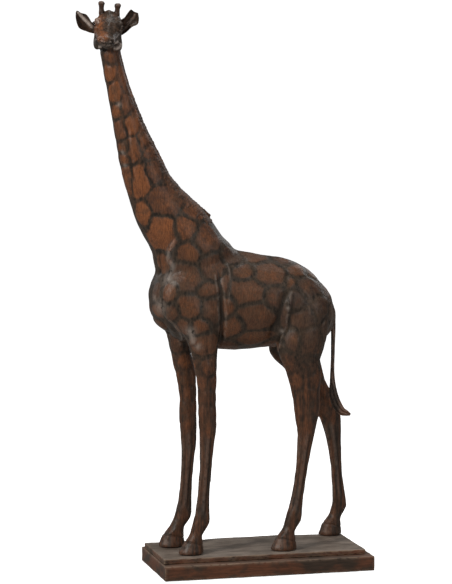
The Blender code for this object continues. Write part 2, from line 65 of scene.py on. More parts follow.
# Radii of the rods that fill the screw holes and the seats of tail, ears and horns
SCREW_PLUG, TAIL_PLUG, EAR_PLUG, HORN_PLUG = 2.9, 4.2, 4.0, 4.6
EAR_SEAT = (-24, -6.5)         # y and z of the ears' seats in the head's own axes

# The head's place in the CAD: back of the skull, and turn, pitch and roll
HEAD_BACK = (-13.5, -240.5, 893.0)
HEAD_TURN, HEAD_PITCH, HEAD_ROLL = 76.0, 24.0, 9.0

HORN_THICKEN, HORN_FOOT = 1.22, 0.78    # fuller than the CAD's above, slimmer at the foot
HORN_SLIDE = -2.1              # the horns' shift across the skull
HORN_CUT = 0.5                 # share of a horn's length at which it leaves the head
HORN_ROOM = 9.0                # nothing but the horn is this near its axis

# Spots of the coat seen from the side: y, z, half width, half height, tone
FLANK_SPOTS = (
    (-161, 601, 24, 20, .35), (-193, 582, 11, 19, .9), (-167, 555, 22, 26, .85),
    (-129, 561, 17, 17, .6), (-113, 588, 18, 12, .5), (-96, 541, 19, 20, .4),
    (-123, 521, 16, 16, .6), (-162, 506, 11, 13, .7), (-87, 498, 18, 19, .45),
    (-127, 482, 20, 21, .45), (-52, 513, 15, 11, .3), (-157, 460, 10, 14, .75),
    (-175, 456, 9, 14, .35), (-96, 462, 15, 12, .6), (-127, 437, 18, 18, .7),
    (-89, 430, 16, 18, .45), (-173, 426, 11, 14, .65), (-152, 424, 10, 15, .5),
    (-136, 405, 13, 12, .6), (-110, 405, 14, 11, .75), (-65, 434, 12, 15, .8),
    (-66, 473, 6, 18, .6), (-33, 487, 15, 12, .55), (6, 483, 23, 15, .6),
    (-29, 458, 25, 19, .65), (-15, 419, 25, 20, .6), (-55, 401, 16, 16, .75),
    (12, 447, 13, 17, .3), (-14, 382, 27, 10, .65), (60, 489, 16, 13, .6),
    (44, 470, 9, 10, .5), (75, 461, 22, 17, .25), (53, 443, 12, 17, .15),
    (92, 430, 15, 18, .3), (60, 411, 19, 16, .4), (32, 414, 6, 18, .3),
    (45, 378, 12, 16, .35), (75, 375, 18, 20, .4), (-101, 376, 18, 14, .6),
    (-130, 372, 10, 14, .4), (102, 392, 10, 18, .3), (38, 340, 10, 16, .4),
    (68, 336, 15, 14, .35),
)
NECK_SPOTS = (
    (-246, 807, 8, 13, .8), (-239, 775, 8, 17, .9), (-235, 747, 8, 12, .7),
    (-230, 717, 9, 16, .5), (-226, 690, 9, 9, .55), (-224, 671, 8, 9, .5),
    (-219, 637, 9, 22, .55), (-221, 756, 8, 14, .4), (-213, 725, 11, 13, .75),
    (-211, 688, 10, 16, .5), (-199, 634, 13, 20, .75), (-193, 703, 8, 14, .5),
    (-178, 650, 11, 15, .25), (-182, 681, 9, 9, .4), (-244, 832, 8, 11, .35),
)
# Spots over the rump, the breast and the belly: x, y, z, half width, half height
OUTER_SPOTS = (
    (22, 118, 455, 14, 14), (30, 116, 415, 14, 17), (18, 122, 385, 12, 12),
    (14, -176, 400, 12, 12), (22, -60, 366, 17, 10), (24, 20, 366, 18, 10),
    (14, 40, 506, 14, 12), (20, 88, 484, 15, 12), (18, -10, 512, 16, 10),
)

# Relief of the flank: (y, z) points down each line, its half width, its rise and
# how strong the painted highlight along it is
RELIEF = {
    "groove behind the shoulder": (
        ((-76, 500), (-76, 473), (-73, 444), (-71, 403), (-70, 372)),
        3.2, -2.0, 0,
    ),
    "deep of that groove": (((-73, 452), (-71, 425), (-70, 400), (-70, 368)), 4.5, -2.4, 0),
    "fold behind it": (((-61, 506), (-58, 483), (-61, 457), (-63, 432)), 2.2, 1.3, 0.1),
    "fold before it": (((-84, 490), (-82, 470), (-80, 450)), 2.0, 0.7, 0.05),
    "collar ridge": (
        ((-143, 548), (-154, 526), (-155, 512), (-149, 499), (-154, 483), (-163, 475)),
        3.2, 2.4, 0.8,
    ),
    "hollow before the collar": (((-166, 528), (-168, 514), (-166, 498), (-168, 482)), 4.0, -2.0, 0),
    "breast ridge": (((-172, 436), (-160, 419), (-143, 402), (-129, 381), (-123, 358)), 2.8, 2.2, 0.4),
    "hollow under the breast": (((-176, 420), (-160, 403), (-146, 384), (-139, 362)), 5.0, -2.6, 0),
    "elbow": (((-127, 400), (-121, 386), (-118, 372)), 4.5, 1.8, 0.95),
    "edge of the thigh": (
        ((46, 474), (40, 446), (37, 425), (33, 394), (26, 373), (27, 352), (32, 330)),
        3.8, 1.9, 0,
    ),
    "flank hollow": (((33, 462), (27, 440), (22, 415), (15, 392), (10, 374)), 6.5, -3.6, 0),
    "windpipe furrow": (
        ((-222, 735), (-218, 700), (-214, 668), (-211, 647), (-206, 620)),
        2.8, -1.5, 0,
    ),
    "back of the rump": (((112, 452), (114, 430), (113, 408), (106, 385)), 4.0, 1.5, 0.3),
    "hamstring": (((98, 420), (92, 390), (86, 360), (82, 335)), 4.5, -1.4, 0),
    "forearm furrow": (((-100, 398), (-97, 370), (-94, 340)), 4.0, -1.3, 0),
}
# Soft masses: (y, z), half width and rise
MASSES = (
    ((-112, 470), 30, 1.6), ((-128, 430), 22, 1.4), ((72, 440), 34, 2.0),
    ((66, 378), 24, 1.4), ((-30, 430), 38, -0.8), ((-172, 448), 16, 1.0), ((12, 402), 14, -3.0),
)

# Painted highlights: small pale places where the lamps catch the flanks: side, y, z and size
PAINTED_HIGHLIGHTS = (
    (1, -176, 448, 7), (1, -152, 474, 6), (1, -125, 396, 9), (1, 36, 430, 3), (1, -232, 757, 4),
    (1, 29, 392, 3.5), (1, -112, 372, 6), (1, -170, 436, 13), (1, -156, 480, 11),
    (1, -226, 681, 4), (1, -222, 660, 4), (-1, -170, 446, 7), (-1, -140, 470, 7),
    (-1, -120, 392, 7), (-1, 40, 430, 4), (-1, -228, 700, 4),
)

# Line of the crest that the mane follows, from the head to the withers: y, z
CREST = (
    (-232, 856), (-214.5, 790), (-193, 732), (-164.5, 675), (-144.5, 637), (-108, 600), (-79, 577),
    (-73, 571),
)
# The tail's path: x, y, z, radius
TAIL = (
    (0, 108, 429, 3.4), (0, 119, 428.5, 3.8), (0, 127, 419, 4.4), (0, 128.5, 398, 4.2),
    (0, 128.5, 360, 3.4), (-1, 128, 325, 3.3), (-2, 128.5, 300, 4.6), (-4, 130.5, 281, 6),
    (-6, 136, 264, 6.8), (-8, 145, 251, 6), (-10, 154, 246.5, 4.4), (-12, 162, 243.5, 2),
)

# The camera's place, turn, tilt and lens; it also says which way the face's lines are drawn
CAMERA = (3899.7, -1058.4, 849.4)
CAMERA_AZIMUTH, CAMERA_PITCH, CAMERA_LENS = 75.54, 5.62, 154.1
# Soft boxes: place and size in metres, watts and colour
SOFT_BOXES = {
    "key": ((1.7, -2.7, 2.0), 0.55, 46, (1.0, 0.95, 0.89)),
    "fill": ((2.6, 1.6, 1.3), 1.2, 10, (1.0, 0.97, 0.93)),
    "rim": ((-1.8, 1.9, 1.8), 1.2, 9, (1.0, 1.0, 1.0)),
    "back": ((-2.0, -1.6, 1.4), 1.2, 6, (1.0, 1.0, 1.0)),
    "top": ((0.3, 0.0, 2.6), 1.0, 17, (1.0, 0.98, 0.95)),
}
LIGHT_TARGET = (0, -40, 480)
FLOOR_RADIUS, FLOOR_DROP = 14.0, -0.0005    # in metres; just under the plinth


# ---------------------------------------------------------------- small tools

def ease(value):
    """Smooth step from 0 to 1 over the values 0 to 1."""
    value = within(value)
    return value * value * (3 - 2 * value)


def within(value):
    """Value held between 0 and 1."""
    return np.clip(value, 0.0, 1.0)


def into(share, a, b):
    """From a at share 0 to b at share 1."""
    return a * (1 - share) + b * share


def bump(distance, width):
    """Soft hill of height 1."""
    return np.exp(-(distance / width) ** 2)


def curve_through(points, steps=8):
    """Points of a Catmull-Rom curve through the given ones."""
    points = np.array(points, float)
    ends = np.vstack([2 * points[0] - points[1], points, 2 * points[-1] - points[-2]])
    t = (np.arange(steps) / steps)[:, None]
    runs = []
    for a, b, c, d in zip(ends, ends[1:], ends[2:], ends[3:]):
        runs.append(0.5 * (2 * b + (c - a) * t + (2 * a - 5 * b + 4 * c - d) * t ** 2
                           + (3 * b - a - 3 * c + d) * t ** 3))
    return np.vstack(runs + [points[-1:]])


def walk_along(line):
    """How far along a line of points each of them is, in millimetres."""
    lengths = np.linalg.norm(np.diff(line, axis=0), axis=1)
    return np.concatenate([[0.0], np.cumsum(lengths)])


def evenly(points, count):
    """Points at even steps along a curve."""
    line = curve_through(points, 12)
    walked = walk_along(line)
    wanted = np.linspace(0, walked[-1], count)
    return np.stack([np.interp(wanted, walked, line[:, i]) for i in range(line.shape[1])], 1)


def wobble(points, size, seed=0.0):
    """Noise vectors of about unit length that change over a size in millimetres."""
    shift = Vector((seed, 2.7 * seed, -1.3 * seed))
    return np.array([noise.noise_vector(Vector(p) / size + shift) for p in points])


def mottle(points, size, seed=0.0):
    """One noise value for each point, from about -1 to 1."""
    shift = Vector((seed, -seed, 3.1 * seed))
    return np.array([noise.noise(Vector(p) / size + shift) for p in points])


def box_of(node):
    """Corners of a CAD node in millimetres."""
    low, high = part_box(node)
    return np.array(low) / MM, np.array(high) / MM


def dowel_cut(node):
    """The saw cut that a dowel crosses: its middle and the direction square to it."""
    points = np.array([v.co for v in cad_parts[node].data.vertices]) / MM
    order = points[np.argsort(points[:, 2])]
    quarter = len(order) // 4
    along = order[-quarter:].mean(0) - order[:quarter].mean(0)
    return points.mean(0), along / np.linalg.norm(along)


def head_place():
    """Matrix of the head: back of the skull at the origin, muzzle toward -Y."""
    return (
        Matrix.Translation(HEAD_BACK)
        @ Matrix.Rotation(math.radians(HEAD_TURN), 4, "Z")
        @ Matrix.Rotation(math.radians(HEAD_PITCH), 4, "X")
        @ Matrix.Rotation(math.radians(HEAD_ROLL), 4, "Y")
    )


def moved(points, matrix):
    """Points taken through a matrix."""
    matrix = np.array(matrix)
    return points @ matrix[:3, :3].T + matrix[:3, 3]


def turned(direction):
    """A direction of the head's own axes in the frame's axes."""
    return np.array(head_place().to_3x3() @ Vector(direction))


def link(data, name):
    """Put a mesh, a light or a camera in the scene as an object."""
    made = bpy.data.objects.new(name, data)
    bpy.context.scene.collection.objects.link(made)
    return made


def bmesh_of(mesh):
    """A bmesh with a mesh's contents."""
    bm = bmesh.new()
    bm.from_mesh(mesh)
    return bm


def mesh_from(bm, name):
    """A new mesh with a bmesh's contents; the bmesh is used up."""
    mesh = bpy.data.meshes.new(name)
    bm.to_mesh(mesh)
    bm.free()
    return mesh


def add_rod(bm, start, end, radius):
    """Add a closed cylinder between two points in millimetres."""
    start, end = Vector(start) * MM, Vector(end) * MM
    turn = (end - start).to_track_quat("Z", "Y").to_matrix().to_4x4()
    bmesh.ops.create_cone(
        bm, cap_ends=True, segments=12, radius1=radius * MM, radius2=radius * MM,
        depth=(end - start).length, matrix=Matrix.Translation((start + end) / 2) @ turn,
    )


def biggest_island(mesh):
    """Delete all but the largest connected part of a mesh."""
    bm = bmesh_of(mesh)
    unseen, best = set(bm.verts), []
    while unseen:
        queue = [unseen.pop()]
        island = list(queue)
        while queue:
            for edge in queue.pop().link_edges:
                for vert in edge.verts:
                    if vert in unseen:
                        unseen.remove(vert)
                        queue.append(vert)
                        island.append(vert)
        if len(island) > len(best):
            best = island
    kept = set(best)
    bmesh.ops.delete(bm, geom=[v for v in bm.verts if v not in kept], context="VERTS")
    bm.to_mesh(mesh)
    bm.free()


def melted(bm, name, voxel):
    """One closed skin round everything in a bmesh."""
    source = link(mesh_from(bm, name), name)
    remesh = source.modifiers.new("melt", "REMESH")
    remesh.mode = "VOXEL"
    remesh.voxel_size = voxel * MM
    graph = bpy.context.evaluated_depsgraph_get()
    skin = bpy.data.meshes.new_from_object(source.evaluated_get(graph))
    bpy.data.objects.remove(source, do_unlink=True)
    biggest_island(skin)
    return skin


class Skin:
    """The points of a mesh in millimetres, carved with numpy."""

    def __init__(self, mesh):
        self.mesh = mesh
        self.co = np.zeros(len(mesh.vertices) * 3)
        mesh.vertices.foreach_get("co", self.co)
        self.co = self.co.reshape(-1, 3) / MM
        self.edges = np.zeros(len(mesh.edges) * 2, int)
        mesh.edges.foreach_get("vertices", self.edges)
        self.edges = self.edges.reshape(-1, 2)
        self.degree = np.bincount(self.edges.ravel(), minlength=len(self.co))[:, None]

    def store(self):
        """Write the points back to the mesh."""
        self.mesh.vertices.foreach_set("co", (self.co * MM).ravel())
        self.mesh.update()

    def normals(self):
        """Outward direction at each point."""
        self.store()
        found = np.zeros(len(self.co) * 3)
        self.mesh.vertex_normals.foreach_get("vector", found)
        return found.reshape(-1, 3)

    def neighbours(self, field):
        """Mean of a field over each point's neighbours."""
        a, b = self.edges.T
        total = np.stack([
            np.bincount(a, field[b, i], len(field)) + np.bincount(b, field[a, i], len(field))
            for i in range(field.shape[1])
        ], 1)
        return total / np.maximum(self.degree, 1)

    def spread(self, field, rounds):
        """Blur one value per point."""
        field = field[:, None]
        for _ in range(rounds):
            field = 0.5 * field + 0.5 * self.neighbours(field)
        return field[:, 0]

    def relax(self, rounds, weight=1.0):
        """Smooth the surface without shrinking it."""
        for _ in range(rounds):
            for factor in (0.6, -0.62):
                self.co += weight * factor * (self.neighbours(self.co) - self.co)

    def push(self, rise):
        """Move the surface out along its normals."""
        self.co += self.normals() * rise[:, None]

    def hollow(self, rounds):
        """How hollow (+) or proud (-) the surface is, in millimetres."""
        inward = self.neighbours(self.co) - self.co
        return self.spread((inward * self.normals()).sum(1), rounds)

    def tree(self):
        """Search tree for casting rays at the surface."""
        self.store()
        faces = [tuple(face.vertices) for face in self.mesh.polygons]
        return BVHTree.FromPolygons([Vector(p) for p in self.co], faces)

    def paint(self, **fields):
        """Store named values, one for each point, for the material."""
        for name, values in fields.items():
            layer = self.mesh.attributes.get(name)
            if layer is None:
                layer = self.mesh.attributes.new(name, "FLOAT", "POINT")
            values = np.broadcast_to(np.asarray(values, np.float32), len(self.co))
            layer.data.foreach_set("value", np.ascontiguousarray(values))

    def painted(self, name):
        """Read one value per point."""
        values = np.zeros(len(self.co), np.float32)
        self.mesh.attributes[name].data.foreach_get("value", values)
        return values.astype(float)


def line_distance(points, line):
    """Distance to a line of points and how far along it, 0 to 1, each point is."""
    best = np.full(len(points), 1e9)
    along = np.zeros(len(points))
    walked = walk_along(line)
    lengths = np.linalg.norm(np.diff(line, axis=0), axis=1)
    for a, b, start, length in zip(line, line[1:], walked, lengths):
        t = np.clip(((points - a) @ (b - a)) / length ** 2, 0.0, 1.0)
        gap = np.linalg.norm(points - a - t[:, None] * (b - a), axis=1)
        nearer = gap < best
        best[nearer] = gap[nearer]
        along[nearer] = (start + t * length)[nearer] / walked[-1]
    return best, along


def stroke(points, line, width, rise, tails=0.18):
    """Rise of a soft ridge or groove along a line, fading out at both ends."""
    line = np.asarray(line, float)
    reach = 3 * width
    near = np.all((points > line.min(0) - reach) & (points < line.max(0) + reach), axis=1)
    amount = np.zeros(len(points))
    distance, along = line_distance(points[near], line)
    fade = ease(np.minimum(along, 1 - along) / tails) if tails else 1.0
    amount[near] = rise * bump(distance, width) * fade
    return amount


# ------------------------------------------------------------- animal's skin

def horn_axis(word):
    """A horn's points in millimetres, a point on its axis and the axis' direction."""
    points = np.array([v.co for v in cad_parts["horn_" + word].data.vertices]) / MM
    order = points[np.argsort(points[:, 2])]
    quarter = len(order) // 4
    foot, top = order[:quarter].mean(0), order[-quarter:].mean(0)
    return points, foot, (top - foot) / np.linalg.norm(top - foot)


def add_stout_horn(bm, word):
    """Add a horn's CAD shape, thickened about its axis and slid across the skull."""
    points, foot, axis = horn_axis(word)
    local = points - foot
    along = (local @ axis)[:, None] * axis
    share = (local @ axis - (local @ axis).min()) / np.ptp(local @ axis)
    fuller = HORN_FOOT + (HORN_THICKEN - HORN_FOOT) * ease((share - 0.36) / 0.3)
    stout = foot + along + (local - along) * fuller[:, None]
    stout = stout + turned((HORN_SLIDE, 0, 0))
    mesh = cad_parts["horn_" + word].data.copy()
    mesh.vertices.foreach_set("co", (stout * MM).ravel())
    bm.from_mesh(mesh)
    bpy.data.meshes.remove(mesh)


def animal_skin():
    """The CAD pieces of the animal as one smooth skin."""
    bm = bmesh.new()
    solid = ["torso", "neck", "head", "mane"] + [leg + "_leg" for leg in LEGS]
    solid += [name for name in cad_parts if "dowel" in name]
    for name in solid:
        bm.from_mesh(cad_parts[name].data)
    # Rods fill what the CAD leaves open: the screw holes, and the seats of tail, ears and horns.
    for leg in LEGS:
        low, high = box_of("hoof_screw_" + leg)
        x, y = (low + high)[:2] / 2
        add_rod(bm, (x, y, SOLE), (x, y, high[2] + 2), SCREW_PLUG)
    add_rod(bm, TAIL[0][:3], TAIL[1][:3], TAIL_PLUG)
    place = head_place()
    for word, side in (("left", 1), ("right", -1)):
        ear_seat = [place @ Vector((side * out, *EAR_SEAT)) for out in (9, 21)]
        add_rod(bm, *ear_seat, EAR_PLUG)
        add_stout_horn(bm, word)
        horn_seat = place @ Vector((side * 12.5 + HORN_SLIDE, -22, 17.5))
        add_rod(bm, place @ Vector((side * 10, -22, 4)), horn_seat, HORN_PLUG)
    bmesh.ops.remove_doubles(bm, verts=bm.verts, dist=0.01 * MM)
    skin = Skin(melted(bm, "animal", VOXEL))
    skin.relax(14)
    return skin


def cast_side(tree, y, z, side):
    """Point of the surface seen from one side at (y, z)."""
    hit = tree.ray_cast(Vector((side * 300, y, z)), Vector((-side, 0, 0)))[0]
    return None if hit is None else np.array(hit)


def flank_line(tree, points, side):
    """A curve on the surface through points given as (y, z)."""
    hits = [cast_side(tree, y, z, side) for y, z in curve_through(points, 4)]
    return np.array([hit for hit in hits if hit is not None])


def hill(points, centre, width):
    """Soft round hill of height 1 about a centre; flat if there is no centre."""
    if centre is None:
        return np.zeros(len(points))
    return bump(np.linalg.norm(points - centre, axis=1), width)


def carve_relief(skin):
    """Muscles, folds and furrows on both flanks; returns the painted highlights along them."""
    tree = skin.tree()
    rise = np.zeros(len(skin.co))
    rubbed = np.zeros(len(skin.co))
    for side in (1, -1):
        for points, width, height, highlight in RELIEF.values():
            line = flank_line(tree, points, side)
            rise += stroke(skin.co, line, width, height)
            # Painted highlight: a pale stroke along the ridge where the lamps catch it
            if highlight:
                rubbed = np.maximum(rubbed, highlight * stroke(skin.co, line, width + 1.2, 1.0, tails=0.3))
        for (y, z), width, height in MASSES:
            rise += height * hill(skin.co, cast_side(tree, y, z, side), width)
    # Painted highlights on small places of the flanks
    for side, y, z, size in PAINTED_HIGHLIGHTS:
        rubbed = np.maximum(rubbed, 0.8 * hill(skin.co, cast_side(tree, y, z, side), size))
    skin.push(rise)
    skin.relax(1)
    return rubbed


class Spots:
    """The spots of the coat, each a seed on the surface with its own reach and tone."""

    def __init__(self, tree):
        picker = np.random.RandomState(11)
        self.rows = []
        for side in (1, -1):
            for y, z, wide, tall, tone in FLANK_SPOTS + NECK_SPOTS:
                shift = picker.uniform(-3, 3, 2) if side < 0 else (0, 0)
                self.add(cast_side(tree, y + shift[0], z + shift[1], side), wide, tall, tone)
            for x, y, z, wide, tall in OUTER_SPOTS:
                near = tree.find_nearest(Vector((side * x, y, z)))[0]
                self.add(near, wide, tall, picker.uniform(0.3, 0.7))
        for leg in LEGS:
            self.add_leg(tree, leg, picker)
        rows = np.array(self.rows)
        self.centre, self.wide, self.tall, self.tone = rows[:, :3], *rows[:, 3:].T

    def add(self, centre, wide, tall, tone):
        """Add one spot."""
        if centre is not None:
            self.rows.append((*centre, wide, tall, tone))

    def add_leg(self, tree, leg, picker):
        """Spots in rings round a leg, from the belly down to the knee."""
        low, high = box_of(leg + "_leg")
        for row, height in enumerate(np.arange(335, 225, -24)):
            middle = Vector(((low[0] + high[0]) / 2, leg_middle(tree, leg, height), height))
            for step in range(3):
                turn = (step + 0.5 * (row % 2)) * 2 * math.pi / 3 + picker.uniform(-0.2, 0.2)
                out = Vector((math.cos(turn), math.sin(turn), 0))
                hit = tree.ray_cast(middle + out * 60, -out)[0]
                self.add(hit, 11, 12, picker.uniform(0.3, 0.7))

    def field(self, points):
        """For each point: distance to the spot's border, reach from its middle, tone."""
        border, reach, tone = np.zeros((3, len(points)))
        bent = points + 2.4 * wobble(points, 16.0)
        size = (self.wide + self.tall) / 2
        for start in range(0, len(points), POINTS_AT_ONCE):
            part = slice(start, start + POINTS_AT_ONCE)
            gap = np.zeros((len(bent[part]), len(size)), np.float32)
            for axis, reach_of in enumerate((self.wide, self.wide, self.tall)):
                gap += ((bent[part, axis, None] - self.centre[:, axis]) / reach_of) ** 2
            rows = np.arange(len(gap))
            first = gap.argmin(1)
            near = np.sqrt(gap[rows, first])
            gap[rows, first] = 1e9
            second = gap.argmin(1)
            next_near = np.sqrt(gap[rows, second])
            border[part] = (next_near - near) / (1 / size[first] + 1 / size[second])
            reach[part] = near
            tone[part] = self.tone[first]
        return border, reach, tone


def leg_middle(tree, leg, height):
    """The y of a leg's middle at a height, halfway between its front and back."""
    low, high = box_of(leg + "_leg")
    x = (low[0] + high[0]) / 2
    front = tree.ray_cast(Vector((x, low[1] - 40, height)), Vector((0, 1, 0)))[0]
    back = tree.ray_cast(Vector((x, high[1] + 60, height)), Vector((0, -1, 0)))[0]
    if front is None or back is None:
        return (low[1] + high[1]) / 2
    return (front.y + back.y) / 2


def spot_mask(border, reach, fringe=5.0):
    """1 inside a spot, 0 on the dark net between the spots."""
    return ease((border - 0.5) / fringe) * ease((1.6 - reach) / 0.4)


def carve_spots(skin, spots):
    """Raise each spot like a low cushion, with the net between them cut back."""
    border, reach, _ = spots.field(skin.co)
    mask = spot_mask(border, reach)
    fade = 0.25 + 0.75 * ease((skin.co[:, 2] - 215) / 120)
    head = ease((skin.co[:, 2] - 835) / 20)
    puff = mask * (0.55 + 0.5 * within(1 - reach ** 2))
    skin.push((puff - 0.5) * fade * (1 - 0.8 * head))


def carve_tool_marks(skin):
    """The slight unevenness that a gouge leaves."""
    stretched = skin.co * np.array([1, 1, 0.45])
    skin.push(0.28 * mottle(skin.co, 17.0, 3.0) + 0.14 * mottle(stretched, 4.5, 8.0))


def spot_strength(points):
    """How clearly the spots show: faint on the thighs and legs, gone at the hooves."""
    y, z = points[:, 1], points[:, 2]
    legs = 1 - 0.48 * ease((385 - z) / 40)
    thigh = 1 - 0.6 * ease((y - 38) / 25) * ease((475 - z) / 40)
    back = 1 - 0.75 * ease((z - 503) / 12) * ease((y + 62) / 15)
    return np.minimum(np.minimum(legs, thigh), back)


def grey_haze(points):
    """Where the stain has a grey-brown bloom: along the back and over the rump."""
    y, z = points[:, 1], points[:, 2]
    back = ease((z - 496) / 14) * ease((y + 70) / 20)
    rump = ease((y - 52) / 30) * ease((500 - z) / 30) * ease((z - 340) / 40)
    nape = bump(np.abs(points[:, 0]), 14) * ease((z - 560) / 20) * 0.3
    flank = ease((560 - z) / 70) * ease((z - 330) / 50)
    return within(np.maximum(0.75 * back + 0.55 * rump + nape, 0.62 * flank))


def paint_spots(skin, spots):
    """Store the spots for the material."""
    z = skin.co[:, 2]
    border, reach, tone = spots.field(skin.co)
    strength = spot_strength(skin.co)
    neck = ease((z - 560) / 60) * ease((850 - z) / 20)
    mask = spot_mask(border, reach, 7.0 - 2.8 * neck)
    nape, _ = line_distance(skin.co[:, 1:], evenly(CREST, 40))
    nape = bump(nape, 17) * ease((z - 560) / 25)
    mask = np.maximum(mask * (1 - 0.3 * nape), 0.62 * nape)
    mask = 0.09 + 0.15 * neck + (0.85 - 0.08 * neck) * mask
    low = ease((300 - z) / 90)
    skin.paint(
        spot=mask * strength + 0.5 * (1 - strength) * (1 - 0.25 * low),
        tone=tone + 0.1 * neck,
        heart=ease((0.95 - reach) / 0.8) * mask * strength,
        haze=grey_haze(skin.co),
        streak=ease((360 - z) / 70),
    )


def paint_skin(skin, spots, rubbed):
    """Store spots, pale wear and painted highlights on proud places, and painted shade in hollows."""
    paint_spots(skin, spots)
    bend = skin.hollow(5)
    wide_bend = skin.hollow(40)
    local_bend = bend - wide_bend
    # Proud places are painted a little pale: partly wear, partly painted highlight
    proud = 0.11 * ease((-local_bend - 0.014) / 0.05)
    # Painted shade: hollows, small and broad, are painted darker
    dirt = ease((local_bend - 0.008) / 0.04) + 0.6 * ease((wide_bend - 0.006) / 0.03)
    # The painted highlights of the relief join that pale
    skin.paint(worn=within(np.maximum(proud, 0.33 * rubbed)), dirt=within(dirt))


def sawn(mesh, name, cuts, keep=None):
    """Copy of a mesh cut by planes, each (point, outward normal), and capped."""
    bm = bmesh_of(mesh)
    for point, outward in cuts:
        everything = bm.verts[:] + bm.edges[:] + bm.faces[:]
        bmesh.ops.bisect_plane(
            bm, geom=everything, dist=1e-7, plane_co=Vector(point) * MM,
            plane_no=Vector(outward), clear_outer=True,
        )
    if keep:
        bmesh.ops.delete(bm, geom=[v for v in bm.verts if not keep(v.co / MM)], context="VERTS")
    rim = [edge for edge in bm.edges if edge.is_boundary]
    bmesh.ops.holes_fill(bm, edges=rim, sides=0)
    return mesh_from(bm, name)


def refined(mesh):
    """Split each face of a mesh in four."""
    bm = bmesh_of(mesh)
    bmesh.ops.subdivide_edges(bm, edges=bm.edges[:], cuts=1, use_grid_fill=True, smooth=0.0)
    bm.to_mesh(mesh)
    bm.free()


def soften(skin):
    """Round off the corners that splitting left, keeping the rim of a saw cut."""
    cap = np.zeros(len(skin.co), bool)
    for face in skin.mesh.polygons:
        if len(face.vertices) > CAP_CORNERS:
            cap[list(face.vertices)] = True
    skin.relax(2, np.where(cap, 0.0, 1.0)[:, None])


# --------------------------------------------------------------------- head

# Lines of the face as they are seen from the camera, in the head's own axes: the
# sides that have them, points, half width, rise, strength of painted highlight and of painted shade
FACE = {
    "mouth": ((1, -1), ((0, -98, -1.6), (5, -98, -1), (9, -96, 0.2), (13, -90, -2), (16, -78, -5)),
              1.2, -2.6, 0, 1.0),
    "upper lip": ((1, -1), ((0, -99, 1.4), (5, -98.5, 2), (9.5, -96, 3.2)), 1.5, 0.9, 0.18, 0),
    "lower lip": ((1, -1), ((0, -97, -4.4), (5, -96.5, -4.2), (9, -94, -3.2)), 1.4, 0.7, 0.15, 0),
    "nostril": ((1, -1), ((8.4, -92, 3.6), (10.3, -92, 2.0), (11.2, -91, 0.6)), 1.5, -2.4, 0, 1.0),
    "nostril rim": ((1, -1), ((6.2, -92, 6.0), (9.5, -92, 6.4), (12.8, -90, 3.6)), 1.6, 1.1, 0.2, 0),
    "brow": ((1, -1), ((15, -44, 14), (20, -42, 13.8), (25, -38, 10)), 2.2, 1.3, 0.2, 0),
    "upper lid": ((1, -1), ((18, -46, 9), (22, -43, 9.6), (26, -38, 7)), 1.2, 0.9, 0, 0.5),
    "lower lid": ((1, -1), ((17.5, -47, 3.5), (20.5, -45, 0.8), (25, -40, -0.5)), 1.4, 0.9, 0.18, 0),
    "lit brow": ((-1,), ((20.5, -45, 15), (18.2, -45, 12), (17.2, -46, 8.5)), 1.6, 0.4, 0.55, 0),
    "tear furrow": ((1, -1), ((18, -52, 3), (15, -60, 1), (13, -68, 0)), 1.8, -0.9, 0, 0.5),
    "cheek furrow": ((1, -1), ((16, -70, -8), (18, -58, -12), (20, -48, -14)), 2.6, -1.2, 0, 0.5),
    "nose ridge": ((1, -1), ((0, -52, 17), (0, -66, 13), (0, -80, 12)), 4.0, 0.7, 0, 0),
    "pale jaw": ((1,), ((6.2, -60, -22.5), (10, -60, -17.2), (14.3, -60, -13.4), (20, -60, -9.6)),
                 1.7, 1.3, 1.0, 0),
    "jaw hole": ((1,), ((10.5, -55, -25), (14.5, -55, -20.5), (18, -55, -17.5)), 1.6, -1.8, 0, 1.0),
    "pale cheek": ((1,), ((11, -45, -30.8), (17.5, -45, -29.4), (22.5, -45, -24.5), (23.5, -45, -19)),
                   2.3, 1.0, 0.95, 0),
    "pale corner": ((-1,), ((5.8, -60, -23.2), (8.8, -60, -24.8), (12, -55, -27)), 2.0, 0.9, 0.9, 0),
    "cheek shade": ((-1,), ((19, -50, -8), (18, -50, -18), (15, -50, -26)), 3.0, -0.5, 0, 0.5),
}
EYE, EYE_RADII = (22.6, -41.5, 4.8), (6.4, 5.6, 4.2)
# Swellings over the eyes and between the horns: place, size and rise
SKULL_KNOBS = (
    ((-22, -36, 10), 8.0, 4.6), ((17.5, -38, 14), 7.0, 3.0), ((-3.3, -28, 22), 6.5, 3.6),
)
SKULL_MIDDLE = (0, -34, -4)
MUZZLE_SLEW = -2.4             # how far the muzzle is bent across the head
MUZZLE_START, MUZZLE_LENGTH = 42, 48    # where that bend starts and how long it is
HEAD_FROM = 836                # height at which the head's carving starts


def muzzle_share(y):
    """0 on the skull, growing to 1 toward the nose."""
    return ease((-y - MUZZLE_START) / MUZZLE_LENGTH)


def eye_reach(local):
    """Distance from the middle of the nearer eye, 1 at the eyeball's edge."""
    sided = np.stack([np.abs(local[:, 0]), local[:, 1], local[:, 2]], 1)
    return np.linalg.norm((sided - EYE) / EYE_RADII, axis=1)


def warp_head(local, weight):
    """Bend the plain CAD head: muzzle raised and slewed, jaw deepened, brows swollen."""
    x, y, z = local.T
    muzzle = muzzle_share(y)
    jaw = ease((-z - 8) / 16) * ease((y + 72) / 16) * ease((-y - 8) / 10)
    deep = ease((-z - 13) / 10) * ease((y + 68) / 12) * ease((-y - 14) / 10) * ease((np.abs(x) - 5) / 7)
    chin = ease((-y - 66) / 14) * ease((2 - z) / 4)
    shift = np.zeros_like(local)
    shift[:, 0] = MUZZLE_SLEW * muzzle + 2.8 * jaw
    shift[:, 2] = 7.0 * muzzle - 5.0 * deep - 0.42 * chin * (z + 5)
    warped = local + shift * weight[:, None]
    for centre, size, rise in SKULL_KNOBS:
        lift = rise * hill(warped, centre, size) * weight
        outward = np.array(centre) - SKULL_MIDDLE
        warped = warped + lift[:, None] * outward / np.linalg.norm(outward)
    return warped


